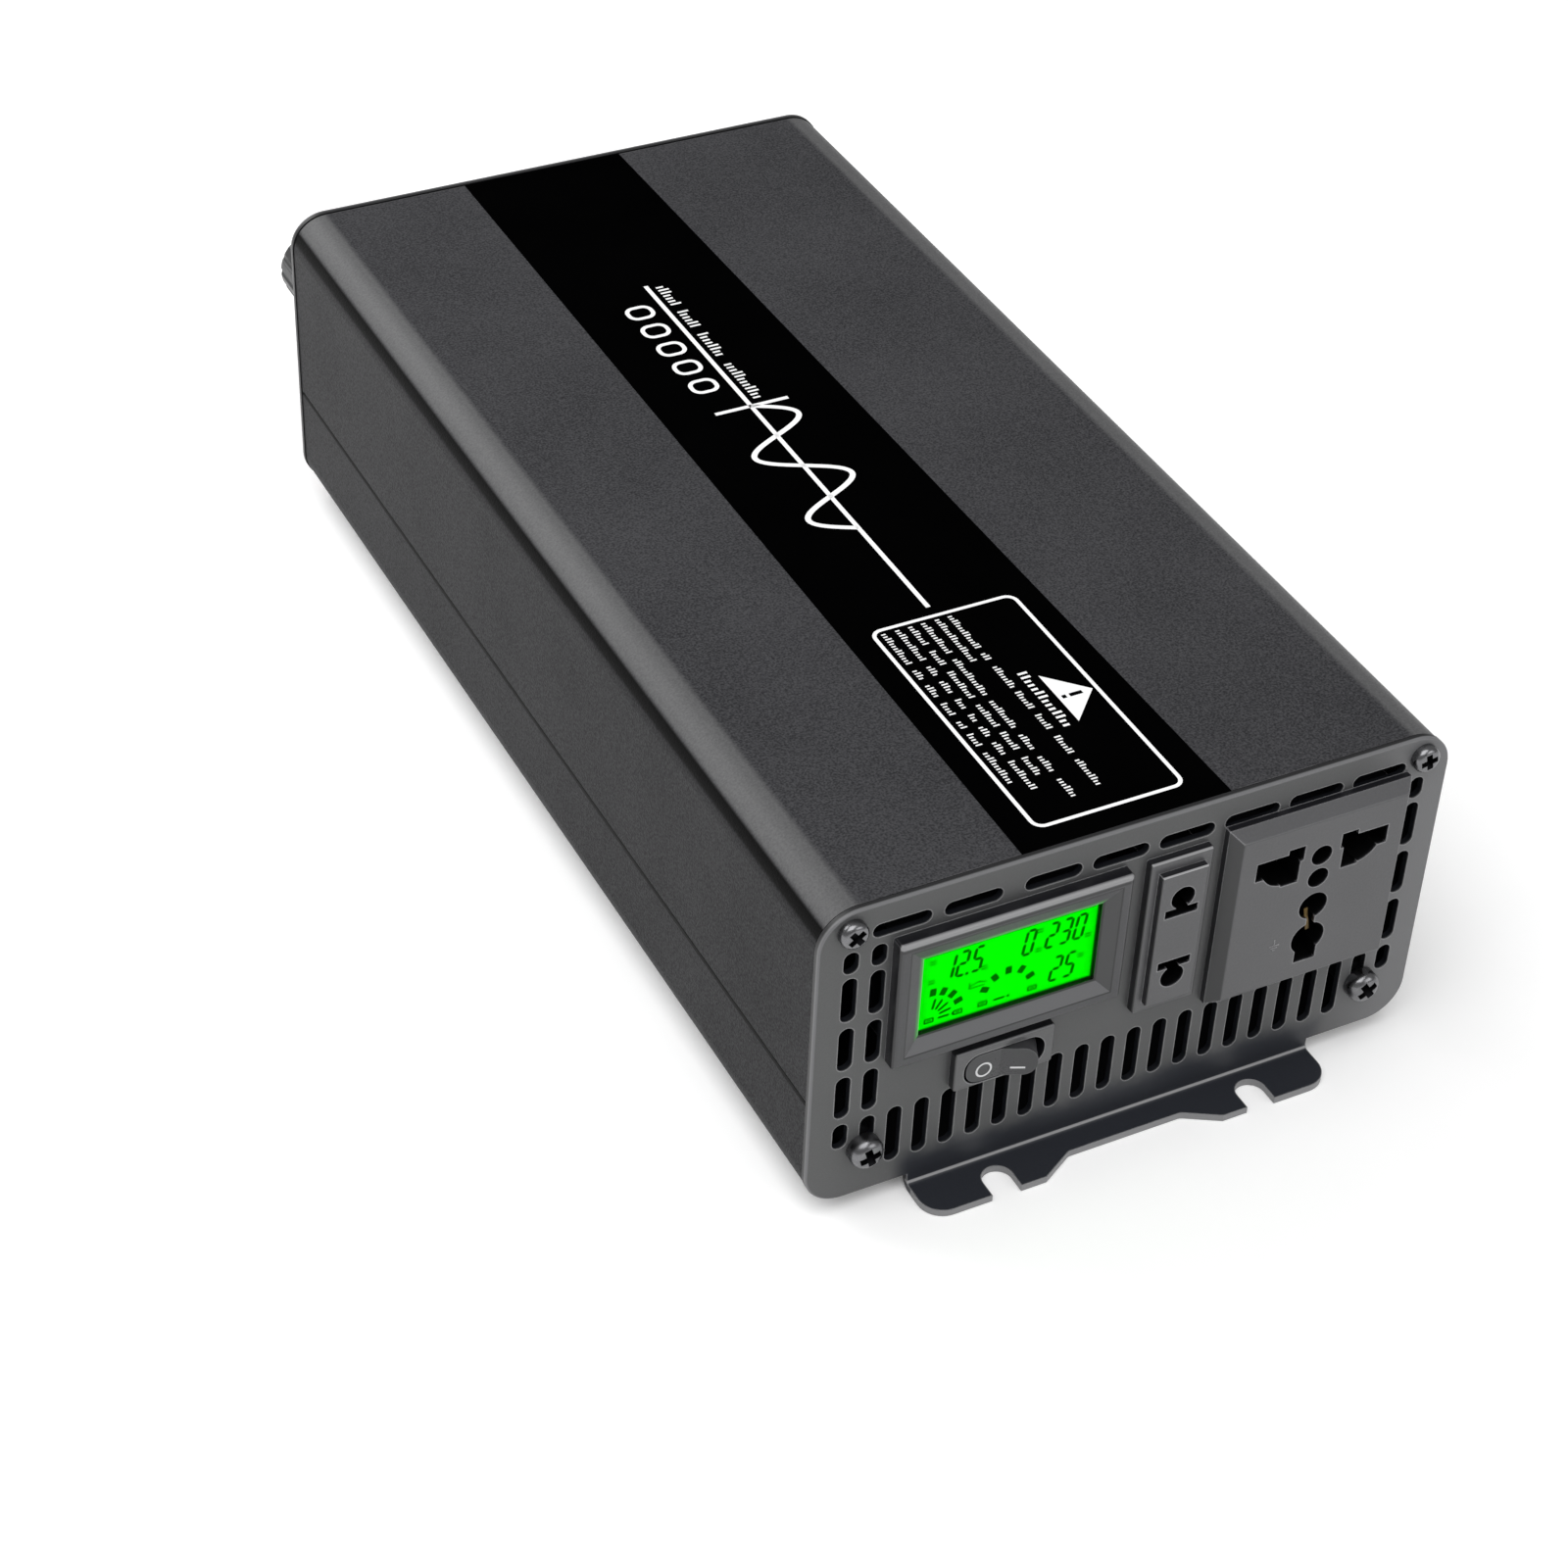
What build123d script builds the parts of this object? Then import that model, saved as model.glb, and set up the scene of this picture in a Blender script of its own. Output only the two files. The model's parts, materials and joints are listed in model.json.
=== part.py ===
"""Power inverter: extruded case in two halves, vented end panels with folded mounting flanges,
meter, rocker switch, two mains outlets, rear fan and battery terminals, and the electronics inside."""

import math
import os

from build123d import *

os.makedirs("parts", exist_ok=True)

# ---- Driving dimensions, in millimetres ---------------------------------------------------
PANEL_W = 132.0          # end panels, which carry the case's outline
PANEL_H = 70.3
PANEL_R = 8.0
PANEL_T = 1.5
CASE_LENGTH = 260.0      # outer face of the front panel to outer face of the rear panel
FLANGE_REACH = 9.5       # how far the folded flange runs out from its panel
FLANGE_HALF = 44.4
FLANGE_DROP = 3.7        # bottom edge of the panel above the flange's underside
TERMINAL_REACH = 27.0    # how far the terminal knobs stand behind the rear panel
WALL = 1.6               # case extrusion
SKIN = 0.2               # the case lies this far inside the panels' outline
END_GAP = 0.3            # case end to panel
SEAM_Z = 25.3            # seam between the shells, above the panel's bottom edge
SEAM_GAP = 0.5

# The bounding box runs from the front flange's edge to the ends of the terminal knobs.
FRONT = -(FLANGE_REACH + CASE_LENGTH + TERMINAL_REACH) / 2 + FLANGE_REACH
REAR = FRONT + CASE_LENGTH
BASE = FLANGE_DROP

SCREW_TOP = (59.7, 66.0)
SCREW_LOW = (54.5, 11.7)
CHANNEL_R = 3.1
CHANNEL_BORE = 1.5


def upright(y):
    """Plane facing the front: local x runs along +X, local y up from the panels' bottom edge."""
    return Plane(origin=(0, y, BASE), x_dir=(1, 0, 0), z_dir=(0, -1, 0))


def level(z):
    """Horizontal plane z above the panels' bottom edge."""
    return Plane.XY.offset(BASE + z)


def across(x):
    """Plane facing +X: local x runs along +Y, local y up from the panels' bottom edge."""
    return Plane(origin=(x, 0, BASE), x_dir=(0, 1, 0), z_dir=(1, 0, 0))


def save(part, name):
    part.label = name
    export_step(part, f"parts/{name}.step")


# ---- End panels ---------------------------------------------------------------------------
TOP_SLOT_X = [-49.6, -35.4] + [-19.2 + 13.9 * k for k in range(6)]
TOP_SLOT_Z = 64.2
SLOT_W = 3.1
LOW_SLOT_X = [-48.2 + 5.67 * k for k in range(18)]
LOW_SLOT = (5.5, 19.3)
SIDE_SLOT_X = (53.8, 59.4)
SIDE_SLOT_Z = [(56.0, 61.0), (44.6, 54.9), (32.7, 43.0), (20.8, 31.0), (13.1, 19.2)]


def upright_slots(xs, z0, z1):
    """Round-ended slots standing on end."""
    with Locations([(x, (z0 + z1) / 2) for x in xs]):
        SlotOverall(z1 - z0, SLOT_W, rotation=90)


def flange(face, way):
    """Folded mounting flange: way is -1 when it runs out along -Y, +1 along +Y."""
    bend_in, bend_out = 1.0, 1.0 + PANEL_T
    low = PANEL_T - FLANGE_DROP
    with BuildPart() as leaf:
        with BuildSketch(across(-FLANGE_HALF)):
            with BuildLine():
                up = Line((face, 1.0), (face, low + bend_in))
                inner = Line((face + way * bend_in, low), (face + way * FLANGE_REACH, low))
                RadiusArc(up @ 1, inner @ 0, -way * bend_in)
                tip = Line(inner @ 1, (face + way * FLANGE_REACH, -FLANGE_DROP))
                under = Line(tip @ 1, (face + way * bend_in, -FLANGE_DROP))
                back = Line((face - way * PANEL_T, low + bend_in), (face - way * PANEL_T, 1.0))
                RadiusArc(under @ 1, back @ 0, way * bend_out)
                Line(back @ 1, up @ 0)
            make_face()
        extrude(amount=2 * FLANGE_HALF)
        edge = face + way * FLANGE_REACH
        corners = leaf.edges().filter_by(Axis.Z).group_by(Axis.Y)[0 if way < 0 else -1]
        fillet(corners, 5.0)
        with BuildSketch(Plane.XY.offset(-1.0)):
            with Locations([(s * 28.1, edge - way * 0.4) for s in (-1, 1)]):
                SlotOverall(12.6, 6.2, rotation=90)
            with BuildLine():
                Polyline(
                    (-20.6, edge + way * 0.6),
                    (-12.4, edge - way * 4.1),
                    (12.4, edge - way * 4.1),
                    (20.6, edge + way * 0.6),
                    close=True,
                )
            make_face()
        extrude(amount=4.0, mode=Mode.SUBTRACT)
        knees = leaf.edges().filter_by(Axis.Z)
        knees = knees.filter_by(lambda e: abs(abs(e.center().X) - 12.4) < 0.3)
        fillet(knees, 2.0)
    return leaf.part


def panel_blank(face, way):
    """Rounded sheet with its flange and softened outer edge; way as for flange()."""
    with BuildPart() as blank:
        with BuildSketch(upright(face)):
            with Locations((0, PANEL_H / 2)):
                RectangleRounded(PANEL_W, PANEL_H, PANEL_R)
        extrude(amount=way * PANEL_T)
        outer = blank.faces().sort_by(Axis.Y)[0 if way < 0 else -1]
        fillet(outer.edges(), 0.35)
        add(flange(face, way))
        with BuildSketch(upright(face)):
            with Locations([(s * SCREW_TOP[0], SCREW_TOP[1]) for s in (-1, 1)]):
                Circle(1.7)
            with Locations([(s * SCREW_LOW[0], SCREW_LOW[1]) for s in (-1, 1)]):
                Circle(1.7)
        extrude(amount=way * PANEL_T, mode=Mode.SUBTRACT)
    return blank.part


# Openings for what the panels carry, as (centre x, centre z, width, height).
METER = (-27.45, 46.65, 47.6, 29.8)
METER_BODY = (45.2, 26.4)
SWITCH = (-26.85, 24.65, 20.9, 9.2)
SWITCH_BODY = (18.8, 8.4)
TWIN = (7.0, 43.2, 13.4, 36.3)
TWIN_BODY = (11.6, 33.4)
OUTLET = (36.75, 42.3, 39.9, 42.2)
OUTLET_BODY = (35.6, 38.0)
FITTED = 0.1

with BuildPart() as front_panel:
    add(panel_blank(FRONT, -1))
    with BuildSketch(upright(FRONT)):
        with Locations([(x, TOP_SLOT_Z) for x in TOP_SLOT_X]):
            SlotOverall(11.75, SLOT_W)
        upright_slots(LOW_SLOT_X, *LOW_SLOT)
        for z0, z1 in SIDE_SLOT_Z:
            upright_slots([s * x for s in (-1, 1) for x in SIDE_SLOT_X], z0, z1)
        for item, body in ((METER, METER_BODY), (SWITCH, SWITCH_BODY), (TWIN, TWIN_BODY), (OUTLET, OUTLET_BODY)):
            with Locations((item[0], item[1])):
                Rectangle(body[0] + 2 * FITTED, body[1] + 2 * FITTED)
    extrude(amount=-PANEL_T, mode=Mode.SUBTRACT)
save(front_panel.part, "front_panel")

FAN = (20.5, 36.0)
FAN_SIZE = 60.0
FAN_HOLE = 25.0
FAN_BORE = 28.5
TERMINALS = {"negative": (-51.0, 41.0), "positive": (-22.0, 41.0)}
COLLAR_NECK = 7.0

with BuildPart() as rear_panel:
    add(panel_blank(REAR, 1))
    with BuildSketch(upright(REAR)):
        with Locations(FAN):
            Circle(28.0)
            with GridLocations(2 * FAN_HOLE, 2 * FAN_HOLE, 2, 2):
                Circle(2.2)
        with Locations(*TERMINALS.values()):
            Circle(COLLAR_NECK + 0.1)
        with Locations([(x, TOP_SLOT_Z) for x in (-49.6, -35.4, -21.2)]):
            SlotOverall(11.75, SLOT_W)
        upright_slots([-42.5 + 5.67 * k for k in range(6)], *LOW_SLOT)
    extrude(amount=PANEL_T, mode=Mode.SUBTRACT)
save(rear_panel.part, "rear_panel")

# ---- Case shells --------------------------------------------------------------------------
CASE_Y0 = FRONT + PANEL_T + END_GAP
CASE_LEN = CASE_LENGTH - 2 * (PANEL_T + END_GAP)
SHELL_W = PANEL_W - 2 * SKIN
SHELL_H = PANEL_H - 2 * SKIN
SHELL_R = PANEL_R - SKIN
TONGUE_T = 1.1
TONGUE_UP = 4.0
TONGUE_X = SHELL_W / 2 - WALL - 0.1 - TONGUE_T / 2


def shell_ring():
    """Section of the whole case wall."""
    with Locations((0, PANEL_H / 2)):
        RectangleRounded(SHELL_W, SHELL_H, SHELL_R)
        RectangleRounded(SHELL_W - 2 * WALL, SHELL_H - 2 * WALL, SHELL_R - WALL, mode=Mode.SUBTRACT)


with BuildPart() as upper_cover:
    with BuildSketch(upright(CASE_Y0)):
        shell_ring()
        for s in (-1, 1):
            with Locations((s * SCREW_TOP[0], SCREW_TOP[1])):
                Circle(CHANNEL_R)
            with Locations((s * 62.9, SCREW_TOP[1] + 1.0), (s * 60.5, SCREW_TOP[1] + 2.4)):
                Rectangle(3.2, 2.4)
        # The webs that join the screw channels to the wall end at the cover's rounded outside.
        with Locations((0, PANEL_H / 2)):
            RectangleRounded(SHELL_W, SHELL_H, SHELL_R, mode=Mode.INTERSECT)
        with Locations((0, 0)):
            Rectangle(200, 2 * (SEAM_Z + SEAM_GAP / 2), mode=Mode.SUBTRACT)
        with Locations([(s * SCREW_TOP[0], SCREW_TOP[1]) for s in (-1, 1)]):
            Circle(CHANNEL_BORE, mode=Mode.SUBTRACT)
    extrude(amount=-CASE_LEN)
    rims = upper_cover.edges().filter_by(Axis.Y)
    rims = rims.filter_by(lambda e: abs(abs(e.center().X) - SHELL_W / 2) < 0.01)
    rims = rims.filter_by(lambda e: abs(e.center().Z - BASE - SEAM_Z - SEAM_GAP / 2) < 0.01)
    chamfer(rims, 0.3)
save(upper_cover.part, "upper_cover")

with BuildPart() as lower_tray:
    with BuildSketch(upright(CASE_Y0)):
        shell_ring()
        with Locations((0, SEAM_Z - SEAM_GAP / 2 + 50)):
            Rectangle(200, 100, mode=Mode.SUBTRACT)
        for s in (-1, 1):
            with Locations((s * TONGUE_X, SEAM_Z + TONGUE_UP / 2 - 1.5)):
                Rectangle(TONGUE_T, TONGUE_UP + 3.0)
            with Locations((s * (TONGUE_X + 0.45), SEAM_Z - 1.9)):
                Rectangle(TONGUE_T + 0.9, 2.6)
            with Locations((s * SCREW_LOW[0], SCREW_LOW[1])):
                Circle(CHANNEL_R)
            with Locations((s * SCREW_LOW[0], SCREW_LOW[1] / 2)):
                Rectangle(2.0, SCREW_LOW[1] - 2.0)
        with Locations([(s * SCREW_LOW[0], SCREW_LOW[1]) for s in (-1, 1)]):
            Circle(CHANNEL_BORE, mode=Mode.SUBTRACT)
    extrude(amount=-CASE_LEN)
    rims = lower_tray.edges().filter_by(Axis.Y)
    rims = rims.filter_by(lambda e: abs(abs(e.center().X) - SHELL_W / 2) < 0.01)
    rims = rims.filter_by(lambda e: abs(e.center().Z - BASE - SEAM_Z + SEAM_GAP / 2) < 0.01)
    chamfer(rims, 0.3)
save(lower_tray.part, "lower_tray")

# Label strip on the cover: slightly wider at the front end than at the back.
STRIP_FRONT = (-25.3, 18.2)
STRIP_REAR = (-24.4, 13.9)
STRIP_T = 0.2

with BuildPart() as top_label_strip:
    with BuildSketch(level(PANEL_H - SKIN)):
        with BuildLine():
            Polyline(
                (STRIP_FRONT[0], CASE_Y0),
                (STRIP_FRONT[1], CASE_Y0),
                (STRIP_REAR[1], CASE_Y0 + CASE_LEN),
                (STRIP_REAR[0], CASE_Y0 + CASE_LEN),
                close=True,
            )
        make_face()
    extrude(amount=STRIP_T)
save(top_label_strip.part, "top_label_strip")


# ---- Case screws --------------------------------------------------------------------------
def pan_screw(x, z, y, way, head_r, head_h, shank_r, shank_len, recess):
    """Cross-recess screw seated at y and driven along +Y (way -1) or -Y (way +1)."""
    with BuildPart() as screw:
        with BuildSketch(upright(y)):
            with Locations((x, z)):
                Circle(head_r)
        extrude(amount=-way * head_h)
        rim = screw.edges().sort_by(Axis.Y)[0 if way < 0 else -1]
        fillet(rim, min(head_h * 0.55, head_r * 0.4))
        with BuildSketch(upright(y + way * head_h)):
            with Locations((x, z)):
                Rectangle(recess, recess * 0.28, rotation=20)
                Rectangle(recess * 0.28, recess, rotation=20)
        extrude(amount=way * head_h * 0.55, mode=Mode.SUBTRACT)
        with BuildSketch(upright(y)):
            with Locations((x, z)):
                Circle(shank_r)
        extrude(amount=way * shank_len)
    return screw.part


PANEL_ENDS = ((FRONT, -1), (REAR, 1))
top_spots = [(s * SCREW_TOP[0], SCREW_TOP[1], y, way) for y, way in PANEL_ENDS for s in (-1, 1)]
low_spots = [(s * SCREW_LOW[0], SCREW_LOW[1], y, way) for y, way in PANEL_ENDS for s in (-1, 1)]

with BuildPart() as case_screws_top:
    for spot in top_spots:
        add(pan_screw(*spot, 2.8, 2.2, 1.45, 14.0, 3.6))
save(case_screws_top.part, "case_screws_top")

with BuildPart() as case_screws_bottom:
    for spot in low_spots:
        add(pan_screw(*spot, 3.4, 3.5, 1.45, 14.0, 4.2))
save(case_screws_bottom.part, "case_screws_bottom")


def box(plane, x, z, w, h, depth):
    """Block on an upright plane: depth is positive towards the front."""
    with BuildPart() as block:
        with BuildSketch(plane):
            with Locations((x, z)):
                Rectangle(w, h)
        extrude(amount=depth)
    return block.part


# ---- Meter --------------------------------------------------------------------------------
METER_PROUD = 3.0
METER_DEEP = 13.0
METER_RIDGE = 2.3
WINDOW = (36.5, 18.4)
WINDOW_AT = 1.7          # front of the window, proud of the panel
MX, MZ = METER[0], METER[1]

with BuildPart() as meter_bezel:
    with BuildSketch(upright(FRONT)):
        with Locations((MX, MZ)):
            RectangleRounded(METER[2], METER[3], 0.6)
    extrude(amount=METER_PROUD)
    fillet(meter_bezel.faces().sort_by(Axis.Y)[0].edges(), 0.9)
    with BuildSketch(upright(FRONT)):
        with Locations((MX, MZ)):
            Rectangle(*METER_BODY)
    extrude(amount=-METER_DEEP)
    with BuildSketch(upright(FRONT - METER_PROUD)):
        with Locations((MX, MZ)):
            Rectangle(METER[2] - 2 * METER_RIDGE, METER[3] - 2 * METER_RIDGE)
    with BuildSketch(upright(FRONT - WINDOW_AT)):
        with Locations((MX, MZ)):
            Rectangle(*WINDOW)
    loft(mode=Mode.SUBTRACT)
    with BuildSketch(upright(FRONT - WINDOW_AT)):
        with Locations((MX, MZ)):
            Rectangle(*WINDOW)
    extrude(amount=-WINDOW_AT, mode=Mode.SUBTRACT)
    with BuildSketch(upright(FRONT + 0.3)):
        with Locations((MX, MZ)):
            Rectangle(METER_BODY[0] - 3.0, METER_BODY[1] - 3.0)
    extrude(amount=-METER_DEEP, mode=Mode.SUBTRACT)
    with BuildSketch(upright(FRONT)):
        with Locations((MX, MZ)):
            Rectangle(*WINDOW)
    extrude(amount=-1.0, mode=Mode.SUBTRACT)
save(meter_bezel.part, "meter_bezel")

with BuildPart() as meter_window:
    with BuildSketch(upright(FRONT - WINDOW_AT)):
        with Locations((MX, MZ)):
            Rectangle(WINDOW[0] - 0.02, WINDOW[1] - 0.02)
    extrude(amount=-0.8)
save(meter_window.part, "meter_window")

with BuildPart() as meter_display:
    with BuildSketch(upright(FRONT - WINDOW_AT + 0.8)):
        with Locations((MX, MZ)):
            Rectangle(WINDOW[0] - 0.1, WINDOW[1] - 0.1)
    extrude(amount=-2.4)
save(meter_display.part, "meter_display")

with BuildPart() as meter_board:
    with BuildSketch(upright(FRONT + 3.0)):
        with Locations((MX, MZ)):
            Rectangle(METER_BODY[0] - 3.2, METER_BODY[1] - 3.2)
    extrude(amount=-1.6)
    with BuildSketch(upright(FRONT + 4.6)):
        with Locations((MX - 8.0, MZ + 2.0)):
            Rectangle(10.0, 10.0)
        with Locations((MX + 10.0, MZ - 4.0)):
            Rectangle(12.0, 5.0)
    extrude(amount=-3.0)
save(meter_board.part, "meter_board")

# ---- Rocker switch ------------------------------------------------------------------------
SX, SZ = SWITCH[0], SWITCH[1]
SWITCH_PROUD = 2.0
SWITCH_DEEP = 14.0
OPENING_Z = SZ - 0.45    # the opening sits a little below the frame's middle
ROCK = 12.0              # the rocker leans this far either side of its middle
AXLE_IN = 2.5            # pivot axis behind the panel's face
ROCKER_H = 6.6
AXLE_R = 1.0

with BuildPart() as switch_frame:
    with BuildSketch(upright(FRONT)):
        with Locations((SX, SZ)):
            RectangleRounded(SWITCH[2], SWITCH[3], 0.5)
    extrude(amount=SWITCH_PROUD)
    fillet(switch_frame.faces().sort_by(Axis.Y)[0].edges(), 0.45)
    with BuildSketch(upright(FRONT)):
        with Locations((SX, SZ)):
            Rectangle(*SWITCH_BODY)
    extrude(amount=-SWITCH_DEEP)
    with BuildSketch(upright(FRONT - SWITCH_PROUD)):
        with Locations((SX, OPENING_Z)):
            RectangleRounded(17.0, 7.2, 3.3)
    extrude(amount=-SWITCH_PROUD - 9.0, mode=Mode.SUBTRACT)
    with BuildSketch(level(SZ - 4.2)):
        with Locations((SX, FRONT + AXLE_IN)):
            Circle(AXLE_R + 0.01)
    extrude(amount=8.4, mode=Mode.SUBTRACT)
save(switch_frame.part, "switch_frame")

# At rest the left end is pressed in, so the rocker's frame leans about the pivot.
lean = math.radians(-ROCK)
rocker_plane = Plane(
    origin=(SX, FRONT + AXLE_IN, BASE + OPENING_Z - ROCKER_H / 2),
    x_dir=(math.cos(lean), math.sin(lean), 0),
    z_dir=(0, 0, 1),
)
TIP = (6.889, 6.065)
HEEL = (7.825, 1.663)
END_WALL = math.dist(TIP, HEEL)

with BuildPart() as switch_rocker:
    with BuildSketch(rocker_plane):
        with BuildLine():
            Polyline(
                (-TIP[0], -TIP[1]),
                (0, -4.6),
                (TIP[0], -TIP[1]),
                (HEEL[0], -HEEL[1]),
                (3.5, 3.0),
                (-3.5, 3.0),
                (-HEEL[0], -HEEL[1]),
                close=True,
            )
        make_face()
    extrude(amount=ROCKER_H)
    ends = switch_rocker.edges().filter_by(lambda e: abs(e.length - END_WALL) < 0.01)
    fillet(ends, 2.9)
    with BuildSketch(rocker_plane):
        Circle(AXLE_R + 0.05)
    extrude(amount=ROCKER_H, mode=Mode.SUBTRACT)
save(switch_rocker.part, "switch_rocker")

with BuildPart() as switch_pivot:
    with BuildSketch(level(SZ - 4.1)):
        with Locations((SX, FRONT + AXLE_IN)):
            Circle(AXLE_R)
    extrude(amount=8.2)
save(switch_pivot.part, "switch_pivot")

BLADE_Y = FRONT + SWITCH_DEEP
with BuildPart() as switch_blades:
    for dx in (-6.0, 0.0, 6.0):
        add(box(upright(BLADE_Y), SX + dx, SZ, 0.8, 4.8, -7.5))
save(switch_blades.part, "switch_blades")

# ---- Two-pin outlet -----------------------------------------------------------------------
TX, TZ = TWIN[0], TWIN[1]
TWIN_PROUD = 2.0
TWIN_INSERT = (9.8, 31.3)
TWIN_INSERT_PROUD = 3.5
TWIN_DEEP = 18.0
PIN_AT = 9.6
FLAT_AT = 6.35


def twin_holes():
    """Round hole, flat slot and the neck between them, for each pin."""
    for s in (-1, 1):
        with Locations((TX, TZ + s * PIN_AT)):
            Circle(2.5)
        with Locations((TX, TZ + s * FLAT_AT)):
            Rectangle(7.0, 1.9)
        with Locations((TX, TZ + s * (PIN_AT + FLAT_AT) / 2)):
            Rectangle(2.6, PIN_AT - FLAT_AT)


with BuildPart() as twin_outlet_frame:
    with BuildSketch(upright(FRONT)):
        with Locations((TX, TZ)):
            RectangleRounded(TWIN[2], TWIN[3], 0.5)
    extrude(amount=TWIN_PROUD)
    fillet(twin_outlet_frame.faces().sort_by(Axis.Y)[0].edges(), 0.6)
    with BuildSketch(upright(FRONT)):
        with Locations((TX, TZ)):
            Rectangle(*TWIN_BODY)
    extrude(amount=-TWIN_DEEP)
    with BuildSketch(upright(FRONT - TWIN_PROUD)):
        with Locations((TX, TZ)):
            Rectangle(TWIN_INSERT[0] + 0.04, TWIN_INSERT[1] + 0.04)
    extrude(amount=-TWIN_PROUD - TWIN_DEEP + 1.5, mode=Mode.SUBTRACT)
    with BuildSketch(upright(FRONT + TWIN_DEEP - 1.5)):
        with Locations((TX, TZ - 8.0), (TX, TZ + 8.0)):
            Rectangle(5.2, 1.4)
    extrude(amount=-1.5, mode=Mode.SUBTRACT)
save(twin_outlet_frame.part, "twin_outlet_frame")

with BuildPart() as twin_outlet_insert:
    with BuildSketch(upright(FRONT + 8.0)):
        with Locations((TX, TZ)):
            Rectangle(*TWIN_INSERT)
    extrude(amount=8.0 + TWIN_INSERT_PROUD)
    fillet(twin_outlet_insert.faces().sort_by(Axis.Y)[0].edges(), 0.45)
    with BuildSketch(upright(FRONT - TWIN_INSERT_PROUD)):
        twin_holes()
    extrude(amount=-TWIN_INSERT_PROUD - 8.0, mode=Mode.SUBTRACT)
save(twin_outlet_insert.part, "twin_outlet_insert")

with BuildPart() as twin_outlet_contacts:
    for s in (-1, 1):
        add(box(upright(FRONT + 9.0), TX, TZ + s * 12.5, 6.0, 0.6, -6.0))
        add(box(upright(FRONT + 9.0), TX, TZ + s * 5.0, 6.0, 0.6, -6.0))
        add(box(upright(FRONT + 15.0), TX, TZ + s * 8.75, 6.0, 8.1, -0.8))
        add(box(upright(FRONT + 15.8), TX, TZ + s * 8.0, 4.8, 0.8, -7.0))
save(twin_outlet_contacts.part, "twin_outlet_contacts")

# ---- Universal three-pin outlet -----------------------------------------------------------
OX, OZ = OUTLET[0], OUTLET[1]
OUTLET_SIDE = 1.5
OUTLET_PROUD = 4.0
OUTLET_FACE = (35.9, 38.2)
FACE_DEEP = 6.0
OUTLET_DEEP = 22.0


with BuildPart() as outlet_face:
    with BuildSketch(upright(FRONT)):
        with Locations((OX, OZ)):
            Rectangle(OUTLET[2], OUTLET[3])
    extrude(amount=OUTLET_SIDE)
    with BuildSketch(upright(FRONT - OUTLET_SIDE)):
        with Locations((OX, OZ)):
            Rectangle(OUTLET[2], OUTLET[3])
    with BuildSketch(upright(FRONT - OUTLET_PROUD)):
        with Locations((OX, OZ)):
            Rectangle(*OUTLET_FACE)
    loft()
    with BuildSketch(upright(FRONT)):
        with Locations((OX, OZ)):
            Rectangle(*OUTLET_BODY)
    extrude(amount=-FACE_DEEP)
    soft = outlet_face.faces().sort_by(Axis.Y)[0].edges()
    fillet(soft, 0.5)
    with BuildSketch(upright(FRONT - OUTLET_PROUD)):
        for s in (-1, 1):
            # Stepped opening for one live or neutral blade.
            with BuildLine():
                Polyline(
                    (OX + s * 12.5, OZ + 8.9),
                    (OX + s * 14.45, OZ + 8.9),
                    (OX + s * 14.45, OZ + 13.2),
                    (OX + s * 7.65, OZ + 13.2),
                    (OX + s * 7.65, OZ + 14.3),
                    (OX + s * 4.05, OZ + 14.3),
                    (OX + s * 4.05, OZ + 10.8),
                    (OX + s * 4.75, OZ + 10.8),
                    (OX + s * 4.75, OZ + 5.8),
                    (OX + s * 8.5, OZ + 5.8),
                    (OX + s * 8.5, OZ + 6.2),
                )
                ThreePointArc(
                    (OX + s * 8.5, OZ + 6.2),
                    (OX + s * 11.0, OZ + 7.2),
                    (OX + s * 12.5, OZ + 8.9),
                )
            make_face()
        with Locations((OX, OZ + 10.6), (OX, OZ + 5.2)):
            Circle(2.25)
        with Locations((OX, OZ - 1.7)):
            Circle(3.1)
        with Locations((OX, OZ - 5.5)):
            Rectangle(1.8, 3.6)
        with Locations((OX, OZ - 9.7)):
            Circle(3.65)
        with Locations((OX, OZ - 12.5)):
            Rectangle(4.8, 5.6)
    extrude(amount=-OUTLET_PROUD - FACE_DEEP, mode=Mode.SUBTRACT)
save(outlet_face.part, "outlet_face")

with BuildPart() as outlet_housing:
    with BuildSketch(upright(FRONT + FACE_DEEP)):
        with Locations((OX, OZ)):
            Rectangle(*OUTLET_BODY)
            Rectangle(OUTLET_BODY[0] - 3.0, OUTLET_BODY[1] - 3.0, mode=Mode.SUBTRACT)
    extrude(amount=-(OUTLET_DEEP - FACE_DEEP))
    with BuildSketch(upright(FRONT + OUTLET_DEEP)):
        with Locations((OX, OZ)):
            Rectangle(*OUTLET_BODY)
        with Locations((OX - 10.0, OZ + 9.0), (OX + 10.0, OZ + 9.0), (OX, OZ - 8.0)):
            Rectangle(5.4, 1.6, mode=Mode.SUBTRACT)
    extrude(amount=-1.8)
save(outlet_housing.part, "outlet_housing")


def spring_clip(x, z, across_w, apart, deep, flat):
    """Brass clip open to the front: two leaves, a back plate and a tail through the housing.
    flat is True when the leaves lie above and below, False when they stand left and right."""
    y = FRONT + FACE_DEEP + 0.4
    back = FRONT + deep
    with BuildPart() as clip:
        for s in (-1, 1):
            shift = s * (apart + 0.6) / 2
            if flat:
                add(box(upright(y), x, z + shift, across_w, 0.6, -(back - y)))
            else:
                add(box(upright(y), x + shift, z, 0.6, across_w, -(back - y)))
        if flat:
            add(box(upright(back), x, z, across_w, apart + 1.2, -0.8))
        else:
            add(box(upright(back), x, z, apart + 1.2, across_w, -0.8))
        tail_z = OZ - 8.0 if not flat else OZ + 9.0
        add(box(upright(back + 0.8), x, tail_z, 4.8, 0.8, -(OUTLET_DEEP + 9.0 - deep - 0.8)))
    return clip.part


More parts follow.
